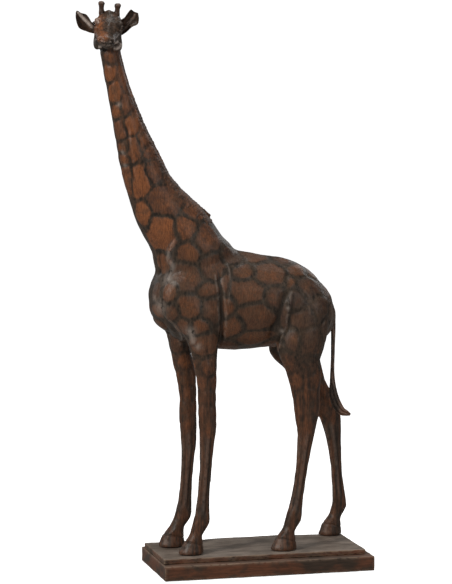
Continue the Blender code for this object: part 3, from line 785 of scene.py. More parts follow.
def face_strokes(skin, place):
    """Strength of each line of the face at each point that faces the camera."""
    local = moved(skin.co, place.inverted())
    outward = skin.normals() @ np.array(place.to_3x3())
    looking = place.inverted().to_3x3() @ (Vector(HEAD_BACK) - Vector(CAMERA))
    looking = np.array(looking.normalized())
    right = np.cross(looking, (0, 0, 1))
    right = right / np.linalg.norm(right)
    seen = np.stack([right, np.cross(right, looking)], 1)
    facing = ease(-(outward @ looking) / 0.35)
    drawn = []
    for sides, points, width, rise, highlight, dark in FACE.values():
        line = curve_through(points, 4)
        slew = MUZZLE_SLEW * muzzle_share(line[:, 1])
        for side in sides:
            placed = line * (side, 1, 1) + np.stack([slew, 0 * slew, 0 * slew], 1)
            amount = stroke(local @ seen, placed @ seen, width, 1.0, tails=0.12)
            deep = local @ looking - (placed @ looking).mean()
            drawn.append((amount * facing * ease(3 - np.abs(deep) / 14), rise, highlight, dark))
    return drawn


def carve_head(skin, place):
    """Eyes, brows, nostrils, lips, cheeks and jaw; returns the strokes of the face."""
    weight = ease((skin.co[:, 2] - HEAD_FROM) / 14)
    skin.co = moved(warp_head(moved(skin.co, place.inverted()), weight), place)
    skin.relax(1)
    drawn = face_strokes(skin, place)
    rise = sum(amount * height for amount, height, _, _ in drawn)
    eye = eye_reach(moved(skin.co, place.inverted()))
    rise += 1.8 * bump(eye, 0.72) - 1.5 * bump(eye - 1.22, 0.26)
    rise += 0.35 * mottle(skin.co, 6.0, 9.0) + 0.2 * mottle(skin.co, 2.5, 3.0)
    skin.push(rise * weight)
    skin.relax(1)
    skin.paint(eye=ease((1.0 - eye) / 0.2) * weight)
    return drawn


def paint_face(skin, place, drawn):
    """Face redder and painted lit on the right, grey-brown and painted shaded on the left and in
    hollows.
    """
    local = moved(skin.co, place.inverted())
    x, y, z = local.T
    face = ease((skin.co[:, 2] - HEAD_FROM - 10) / 14)
    clouds = mottle(skin.co, 7.0, 4.0)
    border = -9.5 + 9.0 * ease((-y - 66) / 22)
    # The right of the face faces the key light: its redder colour is partly stain, partly painted light
    right = ease((border - x + 5.0 * clouds + 5) / 10) * ease((z + 16) / 8)
    horns = ease((z - 15) / 5) * ease((np.abs(x + 2) - 4) / 4)
    right = right * (1 - horns)
    # Painted light: warm pools on the lit cheek and on the muzzle
    painted_cheek_light = bump(np.linalg.norm((local - (-16, -50, 6)) / (1.1, 1.6, 1), axis=1), 13)
    painted_light = np.maximum(painted_cheek_light, hill(local, (-9, -88, 6), 11))
    # The painted shade of the face's lines gathers in deep, their painted highlights in rubbed
    deep = np.zeros(len(x))
    rubbed = np.zeros(len(x))
    for amount, _, highlight, dark in drawn:
        rubbed = np.maximum(rubbed, highlight * amount)
        deep = np.maximum(deep, dark * amount)
    # Painted shade in the grooves and round the eye's socket
    dirt = 0.5 * skin.painted("dirt") + deep + 0.6 * bump(eye_reach(local) - 1.25, 0.3)
    # The left of the face, away from the key light, is darker: partly grey stain, partly painted shade
    dirt = dirt + 0.35 * face * (1 - right) * ease(0.5 - clouds)
    horn_tops = ease((z - 31) / 3) * horns
    worn = 0.35 * skin.painted("worn") * (1 - face) + 0.09 * horn_tops * face
    skin.paint(
        spot=into(face, skin.painted("spot"), 0.36 + 0.36 * right + 0.2 * horns),
        tone=into(face, skin.painted("tone"), 0.34 + 0.25 * right + 0.35 * painted_light),
        heart=into(face, skin.painted("heart"), 0.8 * right * painted_light),
        # The grey haze on the left is partly grey stain, partly painted shade
        haze=face * 0.5 * (1 - right) * (1 - 0.7 * horns) * (0.7 + 0.4 * clouds),
        dirt=within(dirt * (1 - rubbed)),
        worn=within(np.maximum(worn, rubbed)),
    )


# --------------------------------------------------------------------- legs

LEG_SLICE = 4.0                # spacing of the levels at which a leg's middle is found
FRONT_KNEE, HOCK, FETLOCK = 252, 250, 84    # heights of the leg joints


def leg_angles(skin):
    """Each point's place across and along its leg, and its angle: 0 in front, pi behind."""
    z = skin.co[:, 2]
    slices = np.arange(SOLE, z.max() + LEG_SLICE, LEG_SLICE)
    index = np.clip(((z - SOLE) / LEG_SLICE).astype(int), 0, len(slices) - 1)
    count = np.maximum(np.bincount(index, minlength=len(slices)), 1)
    middle = np.stack([np.bincount(index, skin.co[:, i], len(slices)) / count for i in (0, 1)], 1)
    for _ in range(2):
        middle[1:-1] = (middle[:-2] + middle[1:-1] + middle[2:]) / 3
    across = skin.co[:, 0] - np.interp(z, slices, middle[:, 0])
    along = skin.co[:, 1] - np.interp(z, slices, middle[:, 1])
    return across, along, np.arctan2(np.abs(across), -along)


def carve_leg(skin, leg):
    """Tendons, knee and cloven hoof of one leg."""
    z = skin.co[:, 2]
    across, along, angle = leg_angles(skin)
    cannon = ease((z - 92) / 14) * ease((232 - z) / 18)
    tendon = cannon * bump(angle - 2.0, 0.2)
    shin = cannon * bump(angle - 0.85, 0.16)
    rise = cannon * 0.5 * bump(angle - 1.35, 0.4) - 1.5 * tendon - 0.7 * shin
    knee = z - (FRONT_KNEE if "front" in leg else HOCK)
    rise += bump(knee, 13) * (1.0 * bump(angle, 0.6) - 0.6 * bump(angle - 1.1, 0.25))
    rise += -0.5 * bump(knee + 17, 3) * bump(angle, 0.9)
    upper = ease((z - 262) / 20) * ease((338 - z) / 20)
    rise += upper * (-0.8 * bump(angle - 1.9, 0.22) - 0.5 * bump(angle - 0.9, 0.2))
    rise += bump(z - FETLOCK, 9) * 0.9 * bump(angle - 2.6, 0.5)
    rise -= bump(z - FETLOCK + 22, 8) * 1.8 * bump(angle - 2.7, 0.6)
    rise -= bump(z - FETLOCK + 17, 8) * 1.0 * bump(angle - 0.4, 0.6)
    # The coronet slopes down toward the heel.
    coronet = SOLE + 21 - 7 * ease((along + 14) / 34)
    hoof = ease((coronet - z) / 2.5)
    rise += 0.35 * hoof - 0.55 * bump(z - coronet - 1.0, 1.1)
    cleft = bump(across, 1.1) * ease((coronet + 1 - z) / 4)
    rise -= 1.9 * cleft * ease((-along - 2) / 5) + 1.5 * cleft * ease((along - 6) / 5)
    skin.push(rise * ease((z - SOLE - 0.4) / 1.5))
    # The hoof widens to a crisp edge round its sole.
    flare = 1.0 * ease((SOLE + 13 - z) / 13) + 1.6 * ease((SOLE + 3.5 - z) / 3.5)
    radius = np.maximum(np.hypot(across, along), 1.0)
    rimmed = flare * ease((radius - 5) / 5) / radius
    skin.co[:, 0] += across * rimmed
    skin.co[:, 1] += along * rimmed
    skin.co[:, 2] = np.maximum(skin.co[:, 2], SOLE)
    # Painted shade in the tendon grooves, and in the hoof's coronet and cleft
    tendon_groove_shade = 0.7 * tendon + 0.5 * shin + 0.5 * upper * bump(angle - 1.9, 0.25)
    hoof_groove_shade = 0.5 * bump(z - coronet - 1.0, 1.3) + 0.8 * cleft
    # Painted highlights on the hoof's toe and along the cannon's edges
    toe_highlight = hoof * bump(angle - 0.9, 0.6) * ease((z - SOLE) / 6)
    edges = 0.08 * cannon * (bump(angle - 1.4, 0.3) + bump(angle - 0.3, 0.3))
    skin.paint(
        dirt=within(skin.painted("dirt") + tendon_groove_shade + hoof_groove_shade),
        worn=within(0.5 * skin.painted("worn") + 0.1 * toe_highlight + edges),
    )


# ------------------------------------------------------- ears, horns and hair

def skinned_rings(rings, name):
    """Closed mesh through rings of points in millimetres, capped at both ends."""
    bm = bmesh.new()
    rows = [[bm.verts.new(Vector(point) * MM) for point in ring] for ring in rings]
    for low, high in zip(rows, rows[1:]):
        for i in range(len(low)):
            j = (i + 1) % len(low)
            bm.faces.new((low[i], low[j], high[j], high[i]))
    bm.faces.new(rows[0][::-1])
    bm.faces.new(rows[-1])
    bmesh.ops.recalc_face_normals(bm, faces=bm.faces)
    return mesh_from(bm, name)


# Outlines of the ears across the head, in the head's own axes: x and z of the
# upper and lower edges from the root to the tip, and of the fold down the inside
EARS = {
    "right": dict(
        upper=((-13, 0), (-22, 0), (-27.8, 1.2), (-30.7, 5.3), (-34, 9.4), (-38, 12.9), (-43, 13.5),
               (-47, 14.2), (-51, 16.6), (-53.4, 15.8)),
        lower=((-12, -14), (-22, -17.5), (-34, -15.8), (-45, -12.4), (-50.5, -4), (-53.7, 6),
               (-54.4, 13.6)),
        fold=((-21, -11), (-27.2, -7.7), (-32.6, -3.4), (-39.7, 2.4), (-47.1, 9.9), (-51.7, 14.5)),
    ),
    "left": dict(
        upper=((12, 2), (17.7, 11.9), (22.5, 17), (25.2, 23), (30.2, 31.9), (35.7, 29.4), (42, 27.4)),
        lower=((11, -12), (21.3, -13.8), (27, -9.5), (31, -5), (36.5, 2.6), (44.6, 9), (45.6, 17.3),
               (43.6, 25)),
        fold=((20, -6), (26, 0), (32, 8), (37, 17), (39, 24)),
    ),
}
EAR_DEPTH = -27.0              # y of the ears' plane in the head's own axes
EAR_ROWS, EAR_COLUMNS = 64, 41
EAR_FOLD_PALE = {"right": 1.0, "left": 0.1}    # how pale the fold is painted


def ear_mesh(word):
    """A cupped leaf with thick rolled rims, and how near its fold each point is."""
    ear = EARS[word]
    upper, lower = evenly(ear["upper"], EAR_ROWS), evenly(ear["lower"], EAR_ROWS)
    fold = curve_through(ear["fold"], 6)
    columns = np.linspace(-1, 1, EAR_COLUMNS)
    rings, folds = [], []
    for u, high, low in zip(np.linspace(0, 1, EAR_ROWS), upper, lower):
        flat = low + (high - low) * (columns[:, None] + 1) / 2
        gap, along = line_distance(flat, fold)
        ridge = bump(gap, 2.5) * ease(np.minimum(along * 5, (1 - along) * 7 + 0.4))
        rim = bump(np.abs(columns) - 0.93, 0.10)
        cup = 6.0 * math.sin(math.pi * (0.12 + 0.76 * u)) * (1 - columns ** 2)
        front = EAR_DEPTH + cup - 1.2 * rim - 3.4 * ridge
        thick = (1.8 + 5.0 * (1 - u) ** 1.5) * np.sqrt(np.clip(1.03 - columns ** 2, 0.03, 1))
        face = np.stack([flat[:, 0], front, flat[:, 1]], 1)
        rear = np.stack([flat[:, 0], EAR_DEPTH + cup + thick, flat[:, 1]], 1)
        rings.append(moved(np.vstack([face, rear[::-1]]), head_place()))
        folds.append(np.concatenate([ridge, np.zeros(EAR_COLUMNS)]))
    return skinned_rings(rings, "ear"), np.concatenate(folds)


def build_ear(word, material):
    """One ear, standing for its CAD node."""
    mesh, fold = ear_mesh(word)
    skin = Skin(mesh)
    skin.relax(2)
    skin.push(0.25 * mottle(skin.co, 5.0, 5.0))
    skin.relax(1)
    grain = 0.5 + 0.5 * mottle(skin.co, 3.0, 7.0)
    across = np.concatenate([np.linspace(-1, 1, EAR_COLUMNS), np.ones(EAR_COLUMNS)])
    across = np.tile(across, EAR_ROWS)
    inside = np.tile(np.arange(2 * EAR_COLUMNS) < EAR_COLUMNS, EAR_ROWS)
    # Painted shade in the ear's cup along its rims; the back of the ear is darker
    skin.paint(
        worn=within(EAR_FOLD_PALE[word] * ease(fold * 1.6) * (0.75 + 0.4 * grain)),
        dirt=inside * 0.75 * bump(np.abs(across) - 0.68, 0.2) * (1 - fold) + 0.3 * (~inside),
        spot=0.30 + 0.35 * inside * grain,
        tone=0.25 + 0.3 * grain,
        haze=0.35,
    )
    skin.store()
    finish(mesh, "ear_" + word + "_carved", material, "ear_" + word)


def horn_faces(bm, cut, axis):
    """Which faces lie round a horn's axis, and which of them are above the cut."""
    away = np.array([face.calc_center_median() for face in bm.faces]) / MM - cut
    level = away @ axis
    beside = np.linalg.norm(away - np.outer(level, axis), axis=1) < HORN_ROOM
    return beside, beside & (level > 0)


def split_horn(mesh, word):
    """Take one horn off the head's mesh along a level through its shaft."""
    points, foot, axis = horn_axis(word)
    along = (points - foot) @ axis
    cut = foot + turned((HORN_SLIDE, 0, 0)) + axis * (along.min() + HORN_CUT * np.ptp(along))
    bm = bmesh_of(mesh)
    beside, _ = horn_faces(bm, cut, axis)
    geometry = set()
    for face, near in zip(bm.faces, beside):
        if near:
            geometry.add(face)
            geometry.update(face.verts)
            geometry.update(face.edges)
    bmesh.ops.bisect_plane(
        bm, geom=list(geometry), dist=1e-7, plane_co=Vector(cut) * MM, plane_no=Vector(axis),
    )
    _, above = horn_faces(bm, cut, axis)
    horn = bm.copy()
    for part, unwanted in ((bm, above), (horn, ~above)):
        faces = [face for face, out in zip(part.faces, unwanted) if out]
        bmesh.ops.delete(part, geom=faces, context="FACES")
        rim = [edge for edge in part.edges if edge.is_boundary]
        bmesh.ops.holes_fill(part, edges=rim, sides=0)
    bm.to_mesh(mesh)
    bm.free()
    return mesh_from(horn, "horn_" + word)


def tufts(phase):
    """Rounded locks with sharp valleys between them, from 0 to 1."""
    part = phase - np.floor(phase)
    return np.sqrt(within(1 - (2 * part - 1) ** 2))


# The mane: spacing of its rows along the crest, points across each, places along it
# where its locks change, and how deep the band is sunk in the neck
MANE_STEP, MANE_COLUMNS, MANE_KNOTS, MANE_ROOT = 0.8, 61, 58, 2.4
# Lengths of a lock and of a strand along the crest, and how far the locks lean back
# for each millimetre down the neck
LOCK_LENGTH, FINE_LENGTH, LOCK_SLANT = 5.4, 1.8, 0.30
TAIL_CORNERS, TAIL_STEPS = 40, 26    # points round the tail, and rings to each point of its path


def mane_row(tree, crest, out, reach, depth, columns):
    """Points of the skin from side to side over the crest, and their outward directions."""
    core = Vector((0, *crest)) - out * depth
    hits, outward = [], []
    for turn in columns * reach / depth:
        away = out * math.cos(turn) + Vector((math.sin(turn), 0, 0))
        away.normalize()
        hit = tree.ray_cast(core + away * 70, -away)[0]
        hits.append(np.array(hit) if hit else np.array(core + away * depth))
        outward.append(np.array(away))
    return np.array(hits), np.array(outward)


def mane_relief(walk, left, shift, size, drop, columns):
    """Rise of the locks across one row, and how deep each point lies between them.

    walk and left are the ways from the row to the mane's start and end, shift and
    size change the row's locks, and drop is the way down from the crest.
    """
    lean = walk + LOCK_SLANT * drop
    locks = tufts((lean + shift) / LOCK_LENGTH)
    fine = tufts((lean + 0.8 * np.sin(drop / 3)) / FINE_LENGTH)
    ragged = 0.13 * np.sin(walk / 3.1 + 1.7 * np.sign(columns)) + 0.06 * np.sin(walk / 1.1)
    edge = ease((1 - np.abs(columns) - 0.15 - ragged) / 0.3)
    end = (0.25 + 0.75 * ease((walk - 42) / 60)) * ease(left / 1.6)
    crest = 0.7 * bump(drop, 4.0)
    grown = 0.1 + 0.8 * (locks * size) + 0.16 * fine + crest * size
    rise = end * edge * grown - 1.0 * (1 - edge)
    return rise, 1 - 0.7 * locks - 0.3 * fine


def build_mane(tree, material):
    """A band of short locks combed down from the crest of the neck on both sides."""
    path = evenly(CREST, int(walk_along(curve_through(CREST, 12))[-1] / MANE_STEP))
    walks = np.arange(len(path)) * MANE_STEP
    total = walks[-1]
    columns = np.linspace(-1, 1, MANE_COLUMNS)
    picker = np.random.RandomState(5)
    knots = np.linspace(0, total, MANE_KNOTS)
    shifts = np.interp(walks, knots, picker.uniform(-1.3, 1.3, MANE_KNOTS))
    sizes = np.interp(walks, knots, picker.uniform(0.45, 1.25, MANE_KNOTS))
    rings, valleys = [], []
    for i, walk in enumerate(walks):
        ahead = path[min(i + 3, len(path) - 1)] - path[max(i - 3, 0)]
        ahead = ahead / np.linalg.norm(ahead)
        out = Vector((0.0, -ahead[1], ahead[0]))
        depth = 13.0 + 9.0 * ease(walk / total)
        reach = 8.0 + 30.0 * ease((walk - 30) / (total - 30))
        hits, outward = mane_row(tree, path[i], out, reach, depth, columns)
        drop = np.abs(columns) * reach
        rise, valley = mane_relief(walk, total - walk, shifts[i], sizes[i], drop, columns)
        top, root = hits + outward * rise[:, None], hits - outward * MANE_ROOT
        rings.append(np.vstack([top, root[::-1]]))
        valleys.append(np.concatenate([valley, np.ones(MANE_COLUMNS)]))
    mesh = skinned_rings(rings, "mane")
    skin = Skin(mesh)
    valley = np.concatenate(valleys)
    # Painted shade in the valleys between the locks, also by a lower spot value there
    skin.paint(
        dirt=np.clip(1.2 * valley - 0.3, 0, 0.75),
        spot=within(0.78 - 0.4 * valley + 0.3 * mottle(skin.co, 14.0, 6.0)),
        tone=0.42 + 0.4 * mottle(skin.co, 20.0),
        haze=0.12,
    )
    finish(mesh, "mane_carved", material, "mane")


def tail_rings(path):
    """Rings of twisted strands round the tail's path, and the valleys between them."""
    angles = np.linspace(0, 2 * math.pi, TAIL_CORNERS, endpoint=False)
    rings, valleys = [], []
    walked = 0.0
    for i, (x, y, z, radius) in enumerate(path):
        before, after = path[max(i - 1, 0), :3], path[min(i + 1, len(path) - 1), :3]
        along = Vector(after - before).normalized()
        walked += (after - before).dot(np.array(along)) / 2 if i else 0.0
        up = along.cross(Vector((1, 0, 0))).normalized()
        side = up.cross(along).normalized()
        tuft = ease((i / (len(path) - 1) - 0.52) / 0.1)
        strands = (1 - tuft) * tufts(angles * 5 / (2 * math.pi) + walked / 42)
        strands = strands + tuft * tufts(angles * 7 / (2 * math.pi) + walked / 90)
        rough = radius * (0.86 - 0.1 * tuft + (0.16 + 0.3 * tuft) * strands)
        rings.append([
            Vector((x, y, z)) + side * (r * math.cos(a) * 0.92) + up * (r * math.sin(a))
            for a, r in zip(angles, rough)
        ])
        valleys.append(1 - strands)
    return rings, np.concatenate(valleys)


def build_tail(material):
    """A thin tail of twisted strands that ends in a curled tuft."""
    rings, valley = tail_rings(curve_through(TAIL, TAIL_STEPS))
    mesh = skinned_rings(rings, "tail")
    skin = Skin(mesh)
    tuft = ease((300 - skin.co[:, 2]) / 25)
    tip = ease((skin.co[:, 1] - 136) / 9)
    # Painted shade between the strands and a darker stain on the tuft; painted highlights on the
    # strands' crowns
    skin.paint(
        dirt=within(1.2 * valley - 0.1 + 0.5 * tuft * (1 - tip)),
        worn=within(0.45 - valley) * (0.45 - 0.3 * tuft + 0.5 * tip),
        spot=0.55 - 0.2 * tuft + 0.4 * tip,
        tone=0.5 + 0.3 * mottle(skin.co, 25.0) + 0.4 * tip,
        haze=0.15 * (1 - tip),
        heart=tip,
    )
    skin.push(0.12 * mottle(skin.co, 3.0))
    skin.store()
    finish(mesh, "tail_carved", material, "tail")


# -------------------------------------------------------------------- plinth

BOARD_FACE = 2.5               # size of the boards' faces


def board_mesh(low, high, edge):
    """A box of small faces with rounded edges."""
    bm = bmesh.new()
    size = high - low
    place = Matrix.Translation(Vector((low + high) / 2)) @ Matrix.Diagonal((*size, 1.0))
    bmesh.ops.create_cube(bm, size=1.0, matrix=place)
    for axis, normal in enumerate(Matrix.Identity(3)):
        count = max(1, int(size[axis] / BOARD_FACE))
        for step in range(1, count):
            point = Vector(low) + normal * float(size[axis] * step / count)
            bmesh.ops.bisect_plane(
                bm, geom=bm.verts[:] + bm.edges[:] + bm.faces[:], plane_co=point, plane_no=normal,
            )
    corners = [e for e in bm.edges if e.calc_face_angle(0) > 1]
    bmesh.ops.bevel(bm, geom=corners, offset=edge, segments=3, affect="EDGES", profile=0.5)
    bmesh.ops.scale(bm, vec=(MM, MM, MM), verts=bm.verts)
    return mesh_from(bm, "board")


def build_board(node, edge, material, crown, pale):
    """One board of the plinth, worn and slightly uneven; crown lifts its far middle."""
    low, high = box_of(node)
    mesh = board_mesh(low, high, edge)
    skin = Skin(mesh)
    inside = np.minimum(skin.co - low, high - skin.co)
    on_edge = bump(np.sort(inside, axis=1)[:, 1], 2.4)
    grain = mottle(skin.co * (1, 0.12, 1), 4.0, 4.0)
    rubbed = 0.5 * on_edge * (0.6 + mottle(skin.co, 7.0, 1.0))
    skin.push(0.10 * grain + 0.35 * mottle(skin.co, 30.0, 9.0) - rubbed)
    far = ease((20 - skin.co[:, 0]) / 85) * ease((115 - np.abs(skin.co[:, 1] - 5)) / 70)
    skin.co[:, 2] += crown * far * ease((skin.co[:, 2] - low[2]) / (high[2] - low[2]))
    skin.co[:, 2] = np.maximum(skin.co[:, 2], low[2])
    chipped = 0.8 + 0.9 * mottle(skin.co * (1, 0.3, 1), 8.0, 2.0)
    # The pale value sets how much painted sheen the board's top takes
    skin.paint(worn=within(on_edge * chipped), pale=pale)
    skin.store()
    finish(mesh, node + "_worn", material, node)


# ----------------------------------------------------------------- materials

def rgb(*colour):
    """Linear colour with alpha."""
    return (*colour, 1.0)


class Look:
    """A node tree that is built up call by call; values may be numbers or sockets."""

    def __init__(self, owner):
        owner.use_nodes = True
        self.owner, self.tree = owner, owner.node_tree
        self.tree.nodes.clear()

    def node(self, kind, inputs=None, **settings):
        """Add a shader node."""
        made = self.tree.nodes.new("ShaderNode" + kind)
        for key, value in settings.items():
            setattr(made, key, value)
        for key, value in (inputs or {}).items():
            if isinstance(value, bpy.types.NodeSocket):
                self.tree.links.new(value, made.inputs[key])
            else:
                made.inputs[key].default_value = value
        return made

    def maths(self, operation, a, b):
        """Result of one sum."""
        return self.node("Math", {0: a, 1: b}, operation=operation).outputs[0]

    def times(self, a, b):
        """Product."""
        return self.maths("MULTIPLY", a, b)

    def plus(self, a, b):
        """Sum."""
        return self.maths("ADD", a, b)

    def minus(self, a, b):
        """Difference."""
        return self.maths("SUBTRACT", a, b)

    def mix(self, factor, a, b, mode="MIX"):
        """Mix two colours."""
        made = self.node("Mix", {0: factor, 6: a, 7: b}, data_type="RGBA", blend_type=mode)
        return made.outputs[2]

    def steps(self, value, low, high):
        """Value taken smoothly from 0 at low to 1 at high."""
        return self.node(
            "MapRange", {0: value, 1: low, 2: high}, interpolation_type="SMOOTHSTEP",
        ).outputs[0]

    def noise(self, stretch, scale, detail=3.0, rough=0.55, distort=0.0):
        """Noise over the object's own coordinates, stretched along an axis."""
        place = self.node("TexCoord").outputs["Object"]
        place = self.node("Mapping", {"Vector": place, "Scale": stretch}).outputs[0]
        return self.node("TexNoise", {
            "Vector": place, "Scale": scale, "Detail": detail, "Roughness": rough,
            "Distortion": distort,
        }).outputs[0]

    def centred(self, value, amount):
        """Noise taken about zero."""
        return self.times(self.minus(value, 0.5), amount)

    def painted(self, name):
        """A painted value of the mesh."""
        return self.node("Attribute", attribute_name=name).outputs["Fac"]

    def camera_ray(self):
        """1 for what the camera sees directly, 0 for bounced light."""
        return self.node("LightPath").outputs["Is Camera Ray"]

    def surface(self, settings):
        """Close the tree with a principled surface."""
        made = self.node("BsdfPrincipled", settings)
        self.node("OutputMaterial", {"Surface": made.outputs[0]})
        return self.owner

    def wood(self, colour, roughness, height, depth, metallic=0.0, coat=0.0):
        """Close the tree with a satin surface that has a fine relief."""
        rise = self.node("Bump", {"Height": height, "Distance": depth, "Strength": 1.0})
        return self.surface({
            "Base Color": colour, "Roughness": roughness, "Normal": rise.outputs[0],
            "Metallic": metallic, "Coat Weight": coat, "Coat Roughness": 0.3,
            "Specular IOR Level": 0.4,
        })


def new_look(name):
    """Look of a new material."""
    return Look(bpy.data.materials.new(name))


def spot_colours(look, tone):
    """Stain of the spots, from a purplish brown to orange."""
    ramp = look.node("ValToRGB", {"Fac": tone})
    stops = ramp.color_ramp.elements
    stops[0].position, stops[0].color = 0.22, rgb(0.082, 0.046, 0.035)
    stops[1].position, stops[1].color = 0.92, rgb(0.310, 0.114, 0.044)
    middle = stops.new(0.55)
    middle.color = rgb(0.172, 0.074, 0.038)
    return ramp.outputs[0]


def stained_colour(look, cloud, broad, speck):
    """Spots on their dark net, with long runs of stain on the legs."""
    ragged = look.plus(look.centred(speck, 0.7), look.centred(cloud, 0.9))
    spot = look.steps(look.plus(look.painted("spot"), ragged), 0.08, 0.95)
    tone = look.plus(look.times(look.painted("tone"), 0.95), look.plus(0.06, look.centred(cloud, 1.0)))
    colour = spot_colours(look, tone)
    heart = look.times(look.painted("heart"), look.steps(broad, 0.36, 0.6))
    colour = look.mix(look.times(heart, 0.65), colour, rgb(0.345, 0.130, 0.050))
    shaded = look.times(look.steps(speck, 0.50, 0.70), 0.45)
    colour = look.mix(shaded, colour, rgb(0.060, 0.036, 0.025))
    net = look.mix(look.steps(cloud, 0.3, 0.7), rgb(0.022, 0.016, 0.012), rgb(0.076, 0.055, 0.039))
    colour = look.mix(spot, net, colour)
    runs = look.steps(look.noise((1, 1, 0.045), 170.0), 0.36, 0.64)
    run_colour = look.mix(runs, rgb(0.045, 0.028, 0.020), rgb(0.215, 0.086, 0.040))
    return look.mix(look.times(look.painted("streak"), 0.55), colour, run_colour)


def carved_coat(name, dull=0.0):
    """Stained wood: red-brown spots on a dark net; painted shade in hollows, wear and painted
    highlights.
    """
    look = new_look(name)
    broad = look.noise((1, 1, 1), 48.0, 4.0)
    cloud = look.noise((1, 1, 0.7), 170.0, 4.0, 0.6)
    fine = look.noise((1, 1, 0.16), 620.0, 3.0, 0.6, 0.6)
    speck = look.noise((1, 1, 1), 380.0, 4.0, 0.65)
    colour = stained_colour(look, cloud, broad, speck)
    haze = look.times(look.painted("haze"), look.steps(cloud, 0.30, 0.62))
    haze = look.maths("MAXIMUM", haze, look.times(look.steps(broad, 0.50, 0.68), 0.5))
    colour = look.mix(haze, colour, rgb(0.084, 0.061, 0.043))
    strand = look.mix(look.steps(fine, 0.36, 0.62), rgb(0.50, 0.47, 0.45), rgb(1.3, 1.22, 1.14))
    colour = look.mix(0.6, colour, strand, "MULTIPLY")
    # Painted shade in hollows and grooves, with the darker stain of some parts
    dirt = look.times(look.painted("dirt"), 0.68)
    colour = look.mix(dirt, colour, rgb(0.019, 0.013, 0.009))
    # Pale colour for wear and for painted highlights on ridges and proud places
    rubbed = look.times(look.painted("worn"), look.steps(cloud, 0.28, 0.54))
    colour = look.mix(rubbed, colour, rgb(0.84, 0.73, 0.66))
    eye = look.painted("eye")
    colour = look.mix(eye, colour, rgb(0.02, 0.012, 0.008))
    rough = look.plus(0.29 + dull, look.times(speck, 0.22))
    rough = look.minus(rough, look.times(eye, 0.3))
    height = look.plus(fine, look.times(speck, 0.5))
    return look.wood(colour, rough, height, 0.00035, coat=0.03)


def plinth_wood():
    """Dark boards: redder on the sides, rubbed at the edges, with a lighter grey painted sheen on their
    tops.
    """
    look = new_look("plinth_wood_grain")
    broad = look.noise((1, 0.6, 1), 34.0, 5.0, 0.62)
    grain = look.noise((1, 0.06, 1), 520.0, 4.0, 0.6, 0.3)
    speck = look.noise((1, 0.3, 1), 420.0, 4.0, 0.6)
    facing = look.node("SeparateXYZ", {0: look.node("NewGeometry").outputs["Normal"]}).outputs[2]
    # Painted sheen: faces turned up take the lighter, greyer colour, as far as the board's pale value
    # allows
    top = look.times(look.steps(facing, 0.5, 0.9), look.painted("pale"))
    side = look.mix(look.steps(broad, 0.40, 0.60), rgb(0.062, 0.040, 0.027), rgb(0.175, 0.066, 0.032))
    upper = look.mix(look.steps(broad, 0.35, 0.65), rgb(0.220, 0.180, 0.150), rgb(0.385, 0.326, 0.280))
    strand = look.mix(look.steps(grain, 0.38, 0.6), rgb(0.5, 0.48, 0.46), rgb(1.2, 1.15, 1.1))
    colour = look.mix(0.6, look.mix(top, side, upper), strand, "MULTIPLY")
    rubbed = look.times(look.painted("worn"), look.steps(speck, 0.34, 0.56))
    colour = look.mix(rubbed, colour, rgb(0.32, 0.225, 0.16))
    rough = look.plus(0.42, look.times(speck, 0.2))
    return look.wood(colour, rough, grain, 0.0003, coat=0.08)


def dowel_wood():
    """Plain beech with long grain."""
    look = new_look("beech_grain")
    grain = look.noise((1, 1, 0.06), 700.0, 4.0)
    colour = look.mix(grain, rgb(0.42, 0.27, 0.15), rgb(0.62, 0.45, 0.28))
    return look.wood(colour, 0.6, grain, 0.0002)


def zinc_steel():
    """Zinc-plated steel with a fine brushed haze."""
    look = new_look("zinc_plate")
    haze = look.noise((1, 1, 0.2), 900.0)
    colour = look.mix(haze, rgb(0.48, 0.48, 0.46), rgb(0.68, 0.68, 0.64))
    rough = look.plus(0.25, look.times(haze, 0.25))
    return look.wood(colour, rough, haze, 0.00005, metallic=1.0)


def felt_cloth():
    """Black felt with tangled fibres."""
    look = new_look("felt_fibres")
    fibre = look.noise((1, 1, 1), 900.0, 5.0, 0.7, 1.5)
    colour = look.mix(fibre, rgb(0.010, 0.010, 0.011), rgb(0.055, 0.054, 0.052))
    return look.wood(colour, 0.95, fibre, 0.0004)


def finish(mesh, name, material, node):
    """Make a piece of the object from a mesh, standing for one CAD node."""
    mesh.materials.clear()
    mesh.materials.append(material)
    mesh.shade_smooth()
    mesh.set_sharp_from_angle(angle=math.radians(SHARP))
    piece = link(mesh, name)
    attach(piece, "root")
    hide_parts(node)


# --------------------------------------------------------------------- build

def sawn_pieces(mesh):
    """The skin sawn at the CAD's cuts: a mesh for each node of neck, head, torso and legs."""
    leg_cut = (0, 0, (box_of("torso")[0][2] + box_of("front_left_leg")[1][2]) / 2)
    neck_cut, neck_up = dowel_cut("neck_dowel_front")
    head_cut, head_up = dowel_cut("head_dowel")
    pieces = {
        "torso": sawn(mesh, "torso", ((leg_cut, (0, 0, -1)), (neck_cut, neck_up))),
        "neck": sawn(mesh, "neck", ((neck_cut, -neck_up), (head_cut, head_up))),
        "head": sawn(mesh, "head", ((head_cut, -head_up),)),
    }
    below = sawn(mesh, "legs", ((leg_cut, (0, 0, 1)),))
    for leg in LEGS:
        left, front = "left" in leg, "front" in leg
        pieces[leg + "_leg"] = sawn(
            below, leg, (), lambda p: (p.x > 0) == left and (p.y < LEGS_PARTED) == front,
        )
    return pieces


def detail(node, mesh, spots):
    """Carve and paint what is finer than the whole skin's faces can show."""
    if node == "torso":
        return
    place = head_place()
    refined(mesh)
    piece = Skin(mesh)
    soften(piece)
    if node == "head":
        drawn = carve_head(piece, place)
    if node.endswith("_leg"):
        carve_leg(piece, node)
    paint_spots(piece, spots)
    if node == "head":
        paint_face(piece, place, drawn)
    piece.store()


